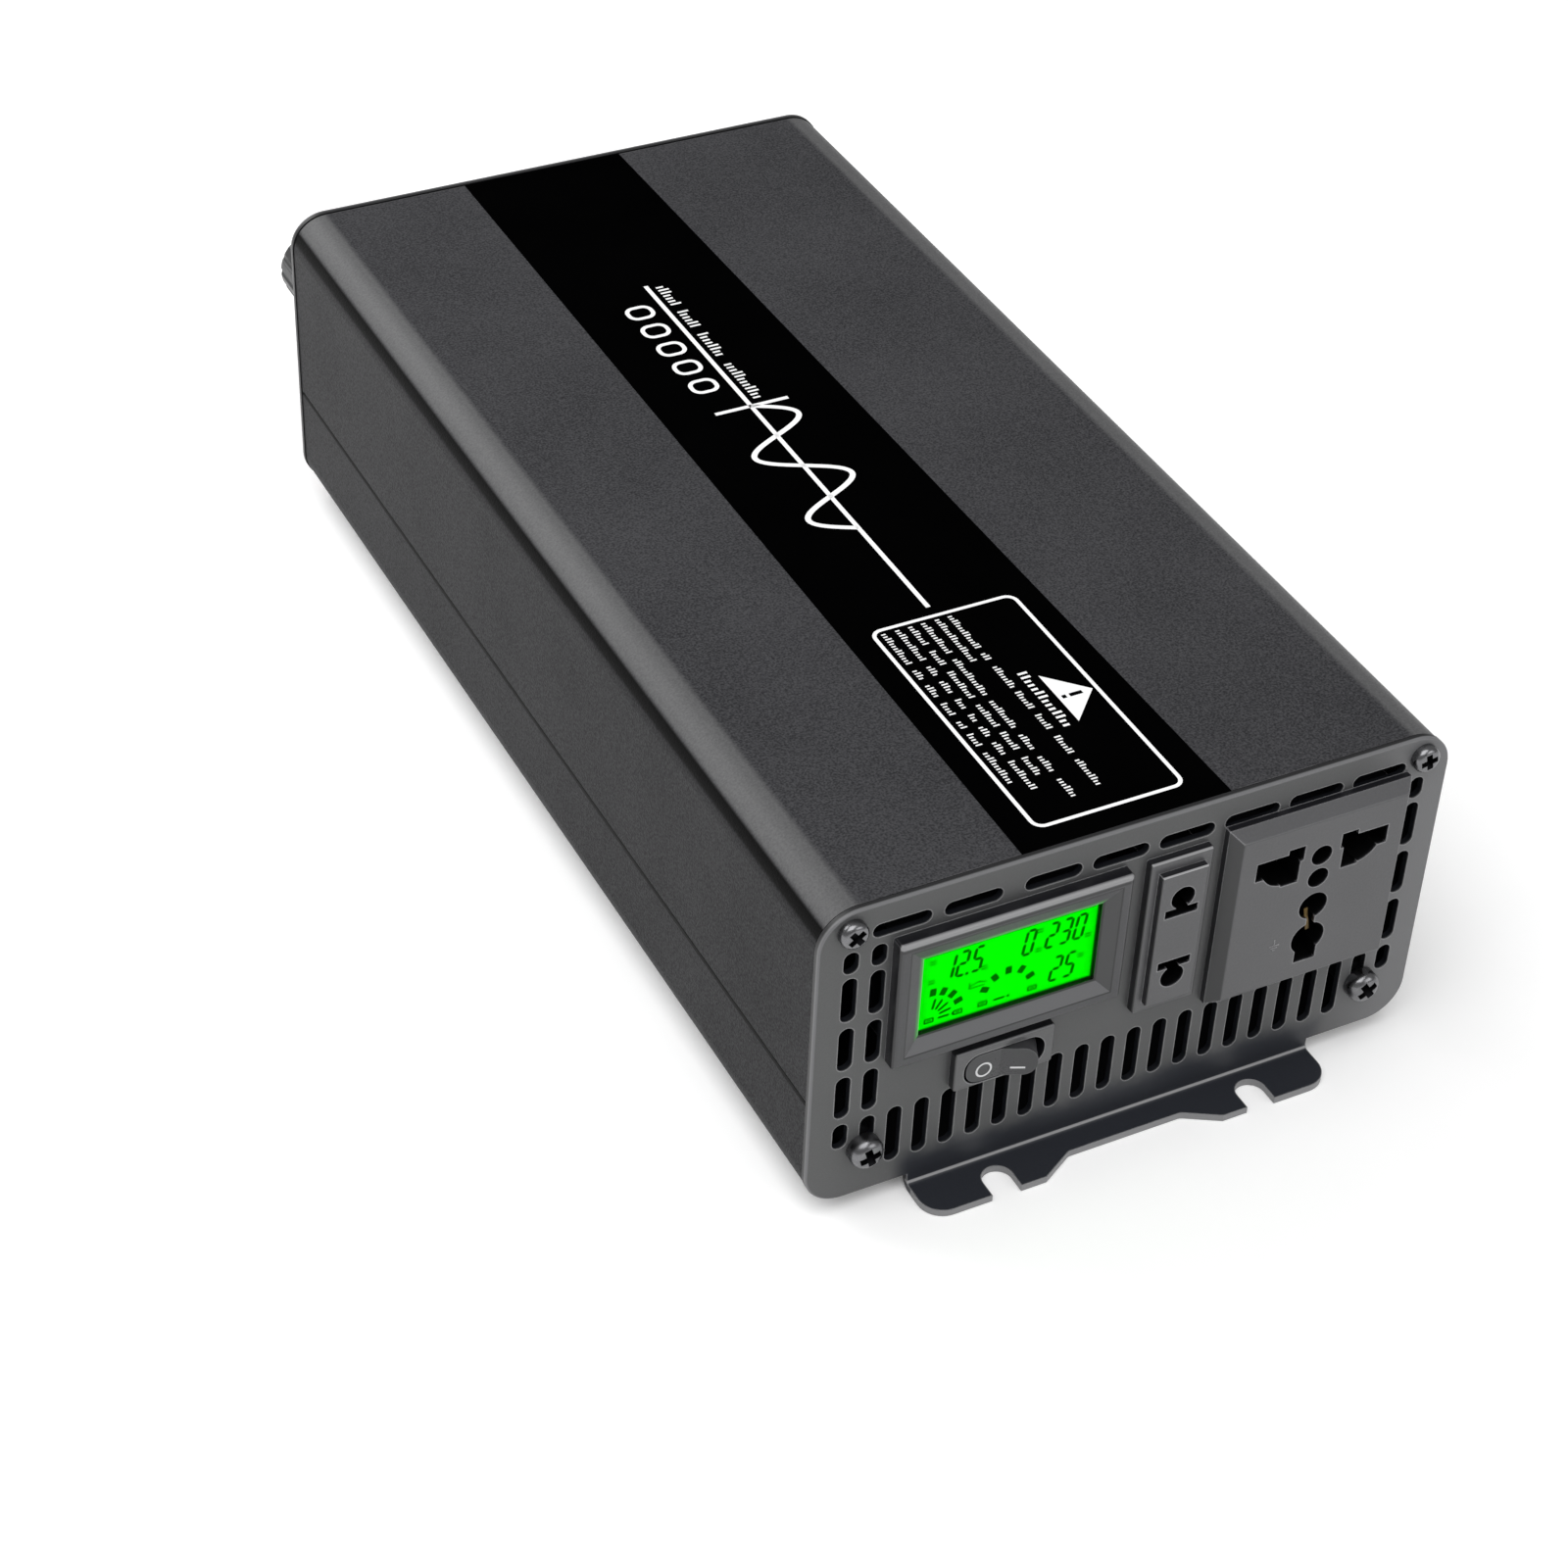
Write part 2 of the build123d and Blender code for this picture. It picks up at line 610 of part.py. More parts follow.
with BuildPart() as outlet_blade_contacts:
    add(spring_clip(OX - 10.0, OZ + 10.0, 9.0, 9.0, 19.0, True))
    add(spring_clip(OX + 10.0, OZ + 10.0, 9.0, 9.0, 19.0, True))
save(outlet_blade_contacts.part, "outlet_blade_contacts")
save(spring_clip(OX, OZ - 7.0, 15.0, 5.2, 19.0, False), "outlet_earth_contact")

# ---- Fan ----------------------------------------------------------------------------------
FX, FZ = FAN
FAN_T = 20.0
FAN_Y1 = REAR - PANEL_T
FAN_Y0 = FAN_Y1 - FAN_T
SHAFT_R = 1.5
HUB_R = 14.5
CUP_R = 13.3
BLADES = 7

with BuildPart() as fan_frame:
    with BuildSketch(upright(FAN_Y0)):
        with Locations(FAN):
            RectangleRounded(FAN_SIZE, FAN_SIZE, 4.0)
            Circle(FAN_BORE, mode=Mode.SUBTRACT)
            with GridLocations(2 * FAN_HOLE, 2 * FAN_HOLE, 2, 2):
                Circle(2.2, mode=Mode.SUBTRACT)
    extrude(amount=-FAN_T)
    with BuildSketch(upright(FAN_Y0)):
        with Locations(FAN):
            Circle(HUB_R)
            Rectangle(2 * FAN_BORE + 1.0, 4.0, rotation=45)
            Rectangle(4.0, 2 * FAN_BORE + 1.0, rotation=45)
    extrude(amount=-2.6)
    with BuildSketch(upright(FAN_Y0)):
        with Locations(FAN):
            Circle(SHAFT_R + 0.01)
    extrude(amount=-2.6, mode=Mode.SUBTRACT)
save(fan_frame.part, "fan_frame")

MOTOR_Y0 = FAN_Y0 + 2.6
with BuildPart() as fan_motor:
    with BuildSketch(upright(MOTOR_Y0)):
        with Locations(FAN):
            Circle(12.3)
            with PolarLocations(9.8, 8):
                Circle(1.5, mode=Mode.SUBTRACT)
            Circle(SHAFT_R + 0.01, mode=Mode.SUBTRACT)
    extrude(amount=-9.0)
save(fan_motor.part, "fan_motor")

ROTOR_Y0 = MOTOR_Y0 + 0.8
ROTOR_Y1 = FAN_Y1 - 1.4
with BuildPart() as fan_rotor:
    with BuildSketch(upright(ROTOR_Y0)):
        with Locations(FAN):
            Circle(HUB_R)
    extrude(amount=-(ROTOR_Y1 - ROTOR_Y0))
    fillet(fan_rotor.edges().sort_by(Axis.Y)[-1], 1.2)
    for k in range(BLADES):
        turn = 2 * math.pi * k / BLADES
        ray = (math.cos(turn), 0, math.sin(turn))
        root = Plane(
            origin=(FX + 13.6 * ray[0], (ROTOR_Y0 + ROTOR_Y1) / 2, BASE + FZ + 13.6 * ray[2]),
            x_dir=(0, 1, 0),
            z_dir=ray,
        )
        with BuildSketch(root):
            Rectangle(17.0, 1.5, rotation=38)
        extrude(amount=13.4)
    with BuildSketch(upright(ROTOR_Y0)):
        with Locations(FAN):
            Circle(40.0)
            Circle(27.3, mode=Mode.SUBTRACT)
    extrude(amount=-(ROTOR_Y1 - ROTOR_Y0), mode=Mode.SUBTRACT)
    with BuildSketch(upright(ROTOR_Y0)):
        with Locations(FAN):
            Circle(CUP_R)
            Circle(3.0, mode=Mode.SUBTRACT)
    extrude(amount=-(ROTOR_Y1 - ROTOR_Y0 - 2.0), mode=Mode.SUBTRACT)
    with BuildSketch(upright(ROTOR_Y0)):
        with Locations(FAN):
            Circle(3.2)
    extrude(amount=-(MOTOR_Y0 + 9.4 - ROTOR_Y0), mode=Mode.SUBTRACT)
    with BuildSketch(upright(ROTOR_Y0)):
        with Locations(FAN):
            Circle(SHAFT_R + 0.05)
    extrude(amount=-(ROTOR_Y1 - ROTOR_Y0 - 0.8), mode=Mode.SUBTRACT)
save(fan_rotor.part, "fan_rotor")

with BuildPart() as fan_shaft:
    with BuildSketch(upright(FAN_Y0 + 0.4)):
        with Locations(FAN):
            Circle(SHAFT_R)
    extrude(amount=-(ROTOR_Y1 - 1.2 - FAN_Y0 - 0.4))
save(fan_shaft.part, "fan_shaft")

# Wire guard on the outside: rings joined by four arms whose eyes take the fan screws.
GUARD_WIRE = 0.9
GUARD_Y = REAR + 2.2
ARM_Y = REAR + 1.0
EYE_AT = FAN_HOLE * math.sqrt(2)
EYE_R = 4.3
with BuildPart() as fan_guard:
    for ring_r in (6.5, 13.0, 19.5, 26.0):
        with BuildSketch(Plane(origin=(FX + ring_r, GUARD_Y, BASE + FZ))):
            Circle(GUARD_WIRE)
        revolve(axis=Axis((FX, 0, BASE + FZ), (0, 1, 0)), revolution_arc=360)
    for k in range(4):
        turn = math.pi / 4 + k * math.pi / 2
        ray = (math.cos(turn), 0, math.sin(turn))
        arm = Plane(
            origin=(FX + 5.9 * ray[0], ARM_Y, BASE + FZ + 5.9 * ray[2]),
            x_dir=(0, 1, 0),
            z_dir=ray,
        )
        with BuildSketch(arm):
            Circle(0.8)
        extrude(amount=EYE_AT - 5.9 - EYE_R + 0.5)
    with BuildSketch(upright(REAR)):
        with Locations(FAN):
            with GridLocations(2 * FAN_HOLE, 2 * FAN_HOLE, 2, 2):
                Circle(EYE_R)
                Circle(2.2, mode=Mode.SUBTRACT)
    extrude(amount=-1.5)
save(fan_guard.part, "fan_guard")

fan_spots = [(FX + sx * FAN_HOLE, FZ + sz * FAN_HOLE) for sx in (-1, 1) for sz in (-1, 1)]
with BuildPart() as fan_screws:
    for x, z in fan_spots:
        add(pan_screw(x, z, REAR + 1.5, 1, 3.5, 2.4, 2.1, 14.0, 4.0))
save(fan_screws.part, "fan_screws")

# ---- Battery terminals --------------------------------------------------------------------
STUD_R = 4.0
STUD_OUT = 24.4
STUD_IN = 14.0
NUT_IN = 8.0
THREAD_FIT = 0.06
KNOB_R = 9.0
WASHER = (6.3, 7.9)
KNOB_Y0 = 8.2

for pole, (px, pz) in TERMINALS.items():
    with BuildPart() as collar:
        with BuildSketch(upright(REAR)):
            with Locations((px, pz)):
                Circle(11.0)
        extrude(amount=-6.0)
        fillet(collar.edges().sort_by(Axis.Y)[-1], 1.2)
        with BuildSketch(upright(REAR - 6.0)):
            with Locations((px, pz)):
                Circle(COLLAR_NECK)
        extrude(amount=-6.0)
        with BuildSketch(upright(REAR - 6.0)):
            with Locations((px, pz)):
                Circle(STUD_R + 0.02)
        extrude(amount=-12.0, mode=Mode.SUBTRACT)
    save(collar.part, f"{pole}_collar")

    with BuildPart() as washer:
        with BuildSketch(upright(REAR + WASHER[0])):
            with Locations((px, pz)):
                Circle(8.2)
                Circle(STUD_R + THREAD_FIT, mode=Mode.SUBTRACT)
        extrude(amount=-(WASHER[1] - WASHER[0]))
        chamfer(washer.edges().group_by(Axis.Y)[-1].sort_by(Edge.length)[-1], 0.3)
    save(washer.part, f"{pole}_washer")

    with BuildPart() as knob:
        with BuildSketch(upright(REAR + KNOB_Y0)):
            with Locations((px, pz)):
                Circle(KNOB_R)
        extrude(amount=-(TERMINAL_REACH - KNOB_Y0))
        fillet(knob.edges().sort_by(Axis.Y)[-1], 1.6)
        with BuildSketch(upright(REAR + KNOB_Y0 + 3.0)):
            with Locations((px, pz)):
                with PolarLocations(KNOB_R + 0.5, 16):
                    Circle(1.1)
        extrude(amount=-TERMINAL_REACH, mode=Mode.SUBTRACT)
        with BuildSketch(upright(REAR + KNOB_Y0)):
            with Locations((px, pz)):
                Circle(STUD_R + THREAD_FIT)
        extrude(amount=-(STUD_OUT + 0.6 - KNOB_Y0), mode=Mode.SUBTRACT)
    save(knob.part, f"{pole}_knob")

POLES = list(TERMINALS.values())
with BuildPart() as terminal_studs:
    with BuildSketch(upright(REAR - STUD_IN)):
        with Locations(POLES):
            Circle(STUD_R)
    extrude(amount=-(STUD_IN + STUD_OUT))
    chamfer(terminal_studs.edges().filter_by(GeomType.CIRCLE), 0.6)
save(terminal_studs.part, "terminal_studs")

with BuildPart() as terminal_inner_nuts:
    with BuildSketch(upright(REAR - NUT_IN)):
        with Locations(POLES):
            RegularPolygon(7.4, 6)
            Circle(STUD_R + 0.02, mode=Mode.SUBTRACT)
    extrude(amount=5.0)
save(terminal_inner_nuts.part, "terminal_inner_nuts")

# ---- Main board and what stands on it -----------------------------------------------------
BOARD_Z = 10.0
BOARD_T = 1.6
BOARD_TOP = BOARD_Z + BOARD_T
BOARD_HALF = 49.0
BOARD_Y0 = FRONT + 44.0
BOARD_Y1 = FRONT + 228.0
FLOOR = SKIN + WALL
POSTS = [(sx * 38.0, FRONT + y) for sx in (-1, 1) for y in (50.0, 137.0, 222.0)]

with BuildPart() as main_board:
    with BuildSketch(level(BOARD_Z)):
        with Locations((0, (BOARD_Y0 + BOARD_Y1) / 2)):
            Rectangle(2 * BOARD_HALF, BOARD_Y1 - BOARD_Y0)
        with Locations(POSTS):
            Circle(1.7, mode=Mode.SUBTRACT)
    extrude(amount=BOARD_T)
save(main_board.part, "main_board")

with BuildPart() as board_standoffs:
    with BuildSketch(level(FLOOR)):
        with Locations(POSTS):
            RegularPolygon(3.2, 6)
            Circle(1.5, mode=Mode.SUBTRACT)
    extrude(amount=BOARD_Z - FLOOR)
save(board_standoffs.part, "board_standoffs")

with BuildPart() as board_screws:
    with BuildSketch(level(BOARD_TOP)):
        with Locations(POSTS):
            Circle(2.8)
    extrude(amount=1.8)
    with BuildSketch(level(BOARD_TOP)):
        with Locations(POSTS):
            Circle(1.45)
    extrude(amount=-7.0)
save(board_screws.part, "board_screws")

SINK_X = 46.0
SINK_T = 3.0
SINK_Y = (FRONT + 90.0, FRONT + 214.0)
SINK_TOP = 52.0
DEVICE_Y = [SINK_Y[0] + 14.0 + 19.0 * k for k in range(6)]


def heat_sink(s):
    """Upright plate along the board's edge with fins towards the case wall; s is the side."""
    with BuildPart() as sink:
        with BuildSketch(upright(SINK_Y[0])):
            with Locations((s * SINK_X, (BOARD_TOP + SINK_TOP) / 2)):
                Rectangle(SINK_T, SINK_TOP - BOARD_TOP)
            with Locations([(s * (SINK_X + 6.5), 20.0 + 5.2 * k) for k in range(7)]):
                Rectangle(11.0, 1.4)
        extrude(amount=-(SINK_Y[1] - SINK_Y[0]))
    return sink.part


with BuildPart() as heat_sinks:
    add(heat_sink(-1))
    add(heat_sink(1))
save(heat_sinks.part, "heat_sinks")


def transistor(s, y):
    """Flat package on the heat sink with three legs down to the board."""
    face_x = s * (SINK_X - SINK_T / 2)
    with BuildPart() as device:
        with BuildSketch(across(face_x)):
            with Locations((y, 30.0)):
                Rectangle(10.4, 15.6)
            with Locations((y, 34.5)):
                Circle(1.6, mode=Mode.SUBTRACT)
        extrude(amount=-s * 4.6)
        with BuildSketch(across(face_x - s * 2.0)):
            with Locations([(y + dy, 17.2) for dy in (-2.54, 0.0, 2.54)]):
                Rectangle(1.0, 2 * (17.2 - BOARD_TOP))
        extrude(amount=-s * 0.6)
    return device.part


with BuildPart() as power_transistors:
    for s in (-1, 1):
        for y in DEVICE_Y:
            add(transistor(s, y))
save(power_transistors.part, "power_transistors")

with BuildPart() as transistor_screws:
    for s in (-1, 1):
        seat = s * (SINK_X - SINK_T / 2 - 4.6)
        for y in DEVICE_Y:
            with BuildSketch(across(seat)):
                with Locations((y, 34.5)):
                    Circle(2.7)
            extrude(amount=-s * 1.8)
            with BuildSketch(across(seat)):
                with Locations((y, 34.5)):
                    Circle(1.45)
            extrude(amount=s * 4.5)
save(transistor_screws.part, "transistor_screws")

# Ferrite cores stand over their windings.
COILS = [(-19.0, FRONT + 172.0), (19.0, FRONT + 172.0)]
with BuildPart() as transformer_cores:
    with BuildSketch(upright(COILS[0][1] - 8.0)):
        for cx, cy in COILS:
            with Locations((cx, BOARD_TOP + 17.0)):
                Rectangle(32.0, 33.0)
            with Locations((cx - 8.5, BOARD_TOP + 17.0), (cx + 8.5, BOARD_TOP + 17.0)):
                Rectangle(7.0, 23.0, mode=Mode.SUBTRACT)
    extrude(amount=-16.0)
save(transformer_cores.part, "transformer_cores")

with BuildPart() as transformer_windings:
    with BuildSketch(level(BOARD_TOP + 6.2)):
        with Locations(COILS):
            RectangleRounded(23.6, 30.0, 4.0)
            Rectangle(10.3, 16.3, mode=Mode.SUBTRACT)
    extrude(amount=21.6)
save(transformer_windings.part, "transformer_windings")

CHOKE = (24.0, FRONT + 74.0)
CHOKE_R, CHOKE_IN, CHOKE_H = 15.0, 7.5, 13.0
with BuildPart() as output_choke_core:
    with BuildSketch(level(BOARD_TOP + 1.6)):
        with Locations(CHOKE):
            Circle(CHOKE_R - 1.5)
            Circle(CHOKE_IN + 1.5, mode=Mode.SUBTRACT)
    extrude(amount=CHOKE_H - 3.2)
save(output_choke_core.part, "output_choke_core")

with BuildPart() as output_choke_winding:
    for k in range(24):
        turn = 2 * math.pi * k / 24
        ray = (math.cos(turn), math.sin(turn), 0)
        loop = Plane(
            origin=(CHOKE[0] + 11.25 * ray[0], CHOKE[1] + 11.25 * ray[1], BASE + BOARD_TOP + CHOKE_H / 2),
            x_dir=ray,
            z_dir=(-ray[1], ray[0], 0),
        )
        with BuildSketch(loop):
            RectangleRounded(CHOKE_R - CHOKE_IN, CHOKE_H, 1.6)
            Rectangle(CHOKE_R - CHOKE_IN - 2.9, CHOKE_H - 3.1, mode=Mode.SUBTRACT)
        extrude(amount=0.75, both=True)
save(output_choke_winding.part, "output_choke_winding")


def cans(spots, radius, height):
    """Round electrolytic capacitors standing on the board."""
    with BuildPart() as group:
        with BuildSketch(level(BOARD_TOP)):
            with Locations(spots):
                Circle(radius)
        extrude(amount=height)
        tops = group.edges().filter_by(GeomType.CIRCLE).group_by(Axis.Z)[-1]
        fillet(tops, 0.9)
    return group.part


save(cans([(x, FRONT + 207.0) for x in (-29.0, -11.0, 7.0, 25.0)], 8.0, 26.0), "input_capacitors")
save(cans([(-15.0, FRONT + 112.0), (15.0, FRONT + 112.0)], 12.5, 40.0), "bus_capacitors")

with BuildPart() as control_board:
    with BuildSketch(upright(FRONT + 138.0)):
        with Locations((0, BOARD_TOP + 18.0)):
            Rectangle(56.0, 36.0)
    extrude(amount=-1.6)
save(control_board.part, "control_board")

with BuildPart() as control_chips:
    with BuildSketch(upright(FRONT + 138.0)):
        with Locations((-14.0, 30.0), (12.0, 34.0)):
            Rectangle(12.0, 12.0)
        with Locations((0.0, 19.0), (20.0, 20.0)):
            Rectangle(10.0, 5.0)
    extrude(amount=2.2)
save(control_chips.part, "control_chips")

FUSE_X = [-30.0, -18.0, -6.0]
FUSE_Y = FRONT + 66.0
with BuildPart() as fuse_holders:
    with BuildSketch(level(BOARD_TOP)):
        with Locations([(x, FUSE_Y) for x in FUSE_X]):
            Rectangle(7.0, 22.0)
            Rectangle(5.2, 19.2, mode=Mode.SUBTRACT)
    extrude(amount=9.0)
save(fuse_holders.part, "fuse_holders")

with BuildPart() as blade_fuses:
    with BuildSketch(level(BOARD_TOP + 2.0)):
        with Locations([(x, FUSE_Y) for x in FUSE_X]):
            Rectangle(5.1, 19.1)
    extrude(amount=14.0)
save(blade_fuses.part, "blade_fuses")

# Copper straps: ring over the stud, down the inside of the panel, forward, foot on the board.
STRAP_W, STRAP_T, STRAP_Z = 10.0, 2.0, 20.0
STRAP_Y1 = REAR - NUT_IN + STRAP_T
STRAP_Y0 = FRONT + 219.0
for pole, (px, pz) in TERMINALS.items():
    foot_x = px if pole == "positive" else px + 5.0
    with BuildPart() as strap:
        with BuildSketch(upright(REAR - NUT_IN)):
            with Locations((px, pz)):
                Circle(7.0)
            with Locations((px, (pz + STRAP_Z) / 2)):
                Rectangle(STRAP_W, pz - STRAP_Z)
            with Locations((px, pz)):
                Circle(STUD_R + 0.02, mode=Mode.SUBTRACT)
        extrude(amount=-STRAP_T)
        with BuildSketch(level(STRAP_Z)):
            with Locations((px, (STRAP_Y0 + STRAP_Y1) / 2)):
                Rectangle(STRAP_W, STRAP_Y1 - STRAP_Y0)
        extrude(amount=STRAP_T)
        with BuildSketch(level(BOARD_TOP)):
            with Locations((foot_x, STRAP_Y0 + 3.5)):
                Rectangle(7.0, 7.0)
        extrude(amount=STRAP_Z - BOARD_TOP + 1.0)
    save(strap.part, f"{pole}_strap")


# ---- Wiring -------------------------------------------------------------------------------
def wire(points, radius, bend):
    """Round lead along straight runs joined by tangent arcs."""
    with BuildPart() as lead:
        with BuildLine() as path:
            FilletPolyline(*points, radius=bend)
        start = Plane(origin=path.line @ 0, z_dir=path.line % 0)
        with BuildSketch(start):
            Circle(radius)
        sweep(path=path.line)
    return lead.part


HEADER_Y = BOARD_Y0 + 5.0
PAD = BASE + BOARD_TOP + 0.05
LEAD_R = 1.3
TAIL_Y = FRONT + OUTLET_DEEP + 9.3


def outlet_lead(x, z, drop_x):
    """From a contact's tail back, down and across to the edge of the board."""
    high = BASE + z
    return wire(
        [
            (x, TAIL_Y, high),
            (x, TAIL_Y + 8.0, high),
            (drop_x, HEADER_Y, BASE + 28.0 if high > BASE + 40.0 else high - 6.0),
            (drop_x, HEADER_Y, PAD),
        ],
        LEAD_R,
        3.2,
    )


save(outlet_lead(OX - 10.0, OZ + 9.0, 8.0), "live_wire")
save(outlet_lead(OX + 10.0, OZ + 9.0, 45.0), "neutral_wire")
save(outlet_lead(OX, OZ - 8.0, 29.0), "earth_wire")

with BuildPart() as switch_wires:
    for dx in (0.0, 6.0):
        x = SX + dx
        add(
            wire(
                [
                    (x, BLADE_Y + 7.6, BASE + SZ),
                    (x, HEADER_Y, BASE + SZ),
                    (x, HEADER_Y, PAD),
                ],
                0.9,
                6.0,
            )
        )
save(switch_wires.part, "switch_wires")

with BuildPart() as meter_wires:
    for dx in (-2.7, -0.9, 0.9, 2.7):
        x = MX + 13.0 + dx
        add(
            wire(
                [
                    (x, FRONT + 7.65, BASE + MZ - 4.0),
                    (x, HEADER_Y, BASE + MZ - 4.0),
                    (x, HEADER_Y, PAD),
                ],
                0.7,
                12.0,
            )
        )
save(meter_wires.part, "meter_wires")

with BuildPart() as fan_wires:
    for dx in (-1.2, 1.2):
        x = FX - 20.0 + dx
        add(
            wire(
                [
                    (x, FAN_Y0 - 0.05, BASE + FZ - 17.0),
                    (x, BOARD_Y1 - 4.0, BASE + FZ - 17.0),
                    (x, BOARD_Y1 - 4.0, PAD),
                ],
                0.7,
                4.0,
            )
        )
save(fan_wires.part, "fan_wires")
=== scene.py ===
import json
import math

import bmesh
import bpy
from mathutils import Matrix, Vector


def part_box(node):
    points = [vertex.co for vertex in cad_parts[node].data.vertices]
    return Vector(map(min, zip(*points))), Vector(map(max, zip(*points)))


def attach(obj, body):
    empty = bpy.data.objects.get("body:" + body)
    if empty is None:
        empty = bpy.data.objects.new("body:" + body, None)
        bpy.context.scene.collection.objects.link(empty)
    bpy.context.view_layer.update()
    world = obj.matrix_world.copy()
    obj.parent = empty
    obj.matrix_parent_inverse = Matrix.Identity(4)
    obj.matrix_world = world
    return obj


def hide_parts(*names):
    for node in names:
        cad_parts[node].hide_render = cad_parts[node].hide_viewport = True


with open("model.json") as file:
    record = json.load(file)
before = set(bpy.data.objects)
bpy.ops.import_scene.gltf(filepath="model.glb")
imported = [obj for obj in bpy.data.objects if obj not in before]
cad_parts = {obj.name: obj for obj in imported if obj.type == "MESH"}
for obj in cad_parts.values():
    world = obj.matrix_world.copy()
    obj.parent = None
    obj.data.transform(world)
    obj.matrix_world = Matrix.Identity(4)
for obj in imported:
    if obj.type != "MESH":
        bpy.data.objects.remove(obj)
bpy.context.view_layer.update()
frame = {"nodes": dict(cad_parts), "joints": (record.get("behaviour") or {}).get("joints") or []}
nodes = frame["nodes"]
MM = 0.001

# ---- Case shells
# Two aluminium extrusions, the upper cover and the lower tray, that meet at a seam low on each
# side. They are powder coated dark grey outside; inside they are dull, and painted dark as painted
# shade.


def group(name, inputs, outputs):
    """Empty shader group with float inputs and the named outputs."""
    tree = bpy.data.node_groups.new(name, "ShaderNodeTree")
    for label, value in inputs:
        socket = tree.interface.new_socket(label, in_out="INPUT", socket_type="NodeSocketFloat")
        socket.default_value = value
    for label in outputs:
        tree.interface.new_socket(label, in_out="OUTPUT", socket_type="NodeSocketFloat")
    return tree, tree.nodes.new("NodeGroupInput"), tree.nodes.new("NodeGroupOutput")


def math_node(tree, operation, a, b=None, clamp=False):
    """Math node fed by sockets or plain numbers; returns its output."""
    step = tree.nodes.new("ShaderNodeMath")
    step.operation = operation
    step.use_clamp = clamp
    for slot, value in enumerate((a, b)):
        if value is None:
            continue
        if isinstance(value, (int, float)):
            step.inputs[slot].default_value = value
        else:
            tree.links.new(value, step.inputs[slot])
    return step.outputs[0]


def ramp(tree, value, low, high, out_low=0.0, out_high=1.0):
    """Smooth step of value from low to high."""
    step = tree.nodes.new("ShaderNodeMapRange")
    step.interpolation_type = "SMOOTHSTEP"
    step.inputs["From Min"].default_value = low
    step.inputs["From Max"].default_value = high
    step.inputs["To Min"].default_value = out_low
    step.inputs["To Max"].default_value = out_high
    tree.links.new(value, step.inputs["Value"])
    return step.outputs["Result"]


def object_place(tree):
    return tree.nodes.new("ShaderNodeTexCoord").outputs["Object"]


def noise(tree, scale, detail=2.0, stretch=None):
    """Noise on Object coordinates; stretch scales the three axes."""
    place = object_place(tree)
    if stretch:
        mapping = tree.nodes.new("ShaderNodeMapping")
        mapping.inputs["Scale"].default_value = stretch
        tree.links.new(place, mapping.inputs["Vector"])
        place = mapping.outputs["Vector"]
    texture = tree.nodes.new("ShaderNodeTexNoise")
    texture.inputs["Detail"].default_value = detail
    tree.links.new(place, texture.inputs["Vector"])
    if isinstance(scale, (int, float)):
        texture.inputs["Scale"].default_value = scale
    else:
        tree.links.new(scale, texture.inputs["Scale"])
    return texture.outputs["Fac"]


def product(tree, first, second):
    return math_node(tree, "MULTIPLY", first, second)


def less(tree, first, second):
    return math_node(tree, "SUBTRACT", first, second)


def most(tree, first, second):
    return math_node(tree, "MAXIMUM", first, second)


def away_from(tree, value, middle):
    """How far a value is from a middle one, either way."""
    return math_node(tree, "ABSOLUTE", less(tree, value, middle))


def band(tree, value, start, full, fade, end):
    """Soft band: rises from start to full, and falls from fade to end."""
    return product(tree, ramp(tree, value, start, full), ramp(tree, value, end, fade))


def parts(tree, vector):
    split = tree.nodes.new("ShaderNodeSeparateXYZ")
    tree.links.new(vector, split.inputs[0])
    return split.outputs[0], split.outputs[1], split.outputs[2]


def axes(tree):
    """Object coordinates as three sockets."""
    return parts(tree, object_place(tree))


def facing(tree):
    """Parts of the surface's normal as three sockets."""
    return parts(tree, tree.nodes.new("ShaderNodeNewGeometry").outputs["Normal"])


# Powder coat: fine orange peel with a speckle, over a slow change of tone.
coat_grain, grain_in, grain_out = group(
    "powder coat grain", [("Scale", 2600.0), ("Speckle", 0.5)], ["Height", "Tone"]
)
fine = noise(coat_grain, grain_in.outputs["Scale"], 3.0)
cells = coat_grain.nodes.new("ShaderNodeTexVoronoi")
coat_grain.links.new(object_place(coat_grain), cells.inputs["Vector"])
coat_grain.links.new(grain_in.outputs["Scale"], cells.inputs["Scale"])
slow = noise(coat_grain, 35.0, 3.0)
orange_peel = math_node(coat_grain, "ADD", fine, cells.outputs["Distance"])
coat_grain.links.new(orange_peel, grain_out.inputs["Height"])
speck = product(coat_grain, fine, grain_in.outputs["Speckle"])
tone = math_node(coat_grain, "ADD", product(coat_grain, slow, 0.2), speck, clamp=True)
coat_grain.links.new(tone, grain_out.inputs["Tone"])

# Edges where handling has worn the finish lighter; on the front plastics the same mask
# also carries painted highlights.
worn_and_highlit_edges, worn_in, worn_out = group(
    "polished edges", [("Radius", 0.0006), ("Patchiness", 180.0), ("Evenness", 0.0)], ["Mask"]
)
rounded = worn_and_highlit_edges.nodes.new("ShaderNodeBevel")
rounded.samples = 4
worn_and_highlit_edges.links.new(worn_in.outputs["Radius"], rounded.inputs["Radius"])
flat_normal = worn_and_highlit_edges.nodes.new("ShaderNodeNewGeometry").outputs["Normal"]
compare = worn_and_highlit_edges.nodes.new("ShaderNodeVectorMath")
compare.operation = "DOT_PRODUCT"
worn_and_highlit_edges.links.new(rounded.outputs[0], compare.inputs[0])
worn_and_highlit_edges.links.new(flat_normal, compare.inputs[1])
edge_turn = ramp(worn_and_highlit_edges, compare.outputs["Value"], 0.985, 0.8)
patches = ramp(worn_and_highlit_edges, noise(worn_and_highlit_edges, worn_in.outputs["Patchiness"], 3.0), 0.3, 0.62)
patches = math_node(worn_and_highlit_edges, "ADD", patches, worn_in.outputs["Evenness"], clamp=True)
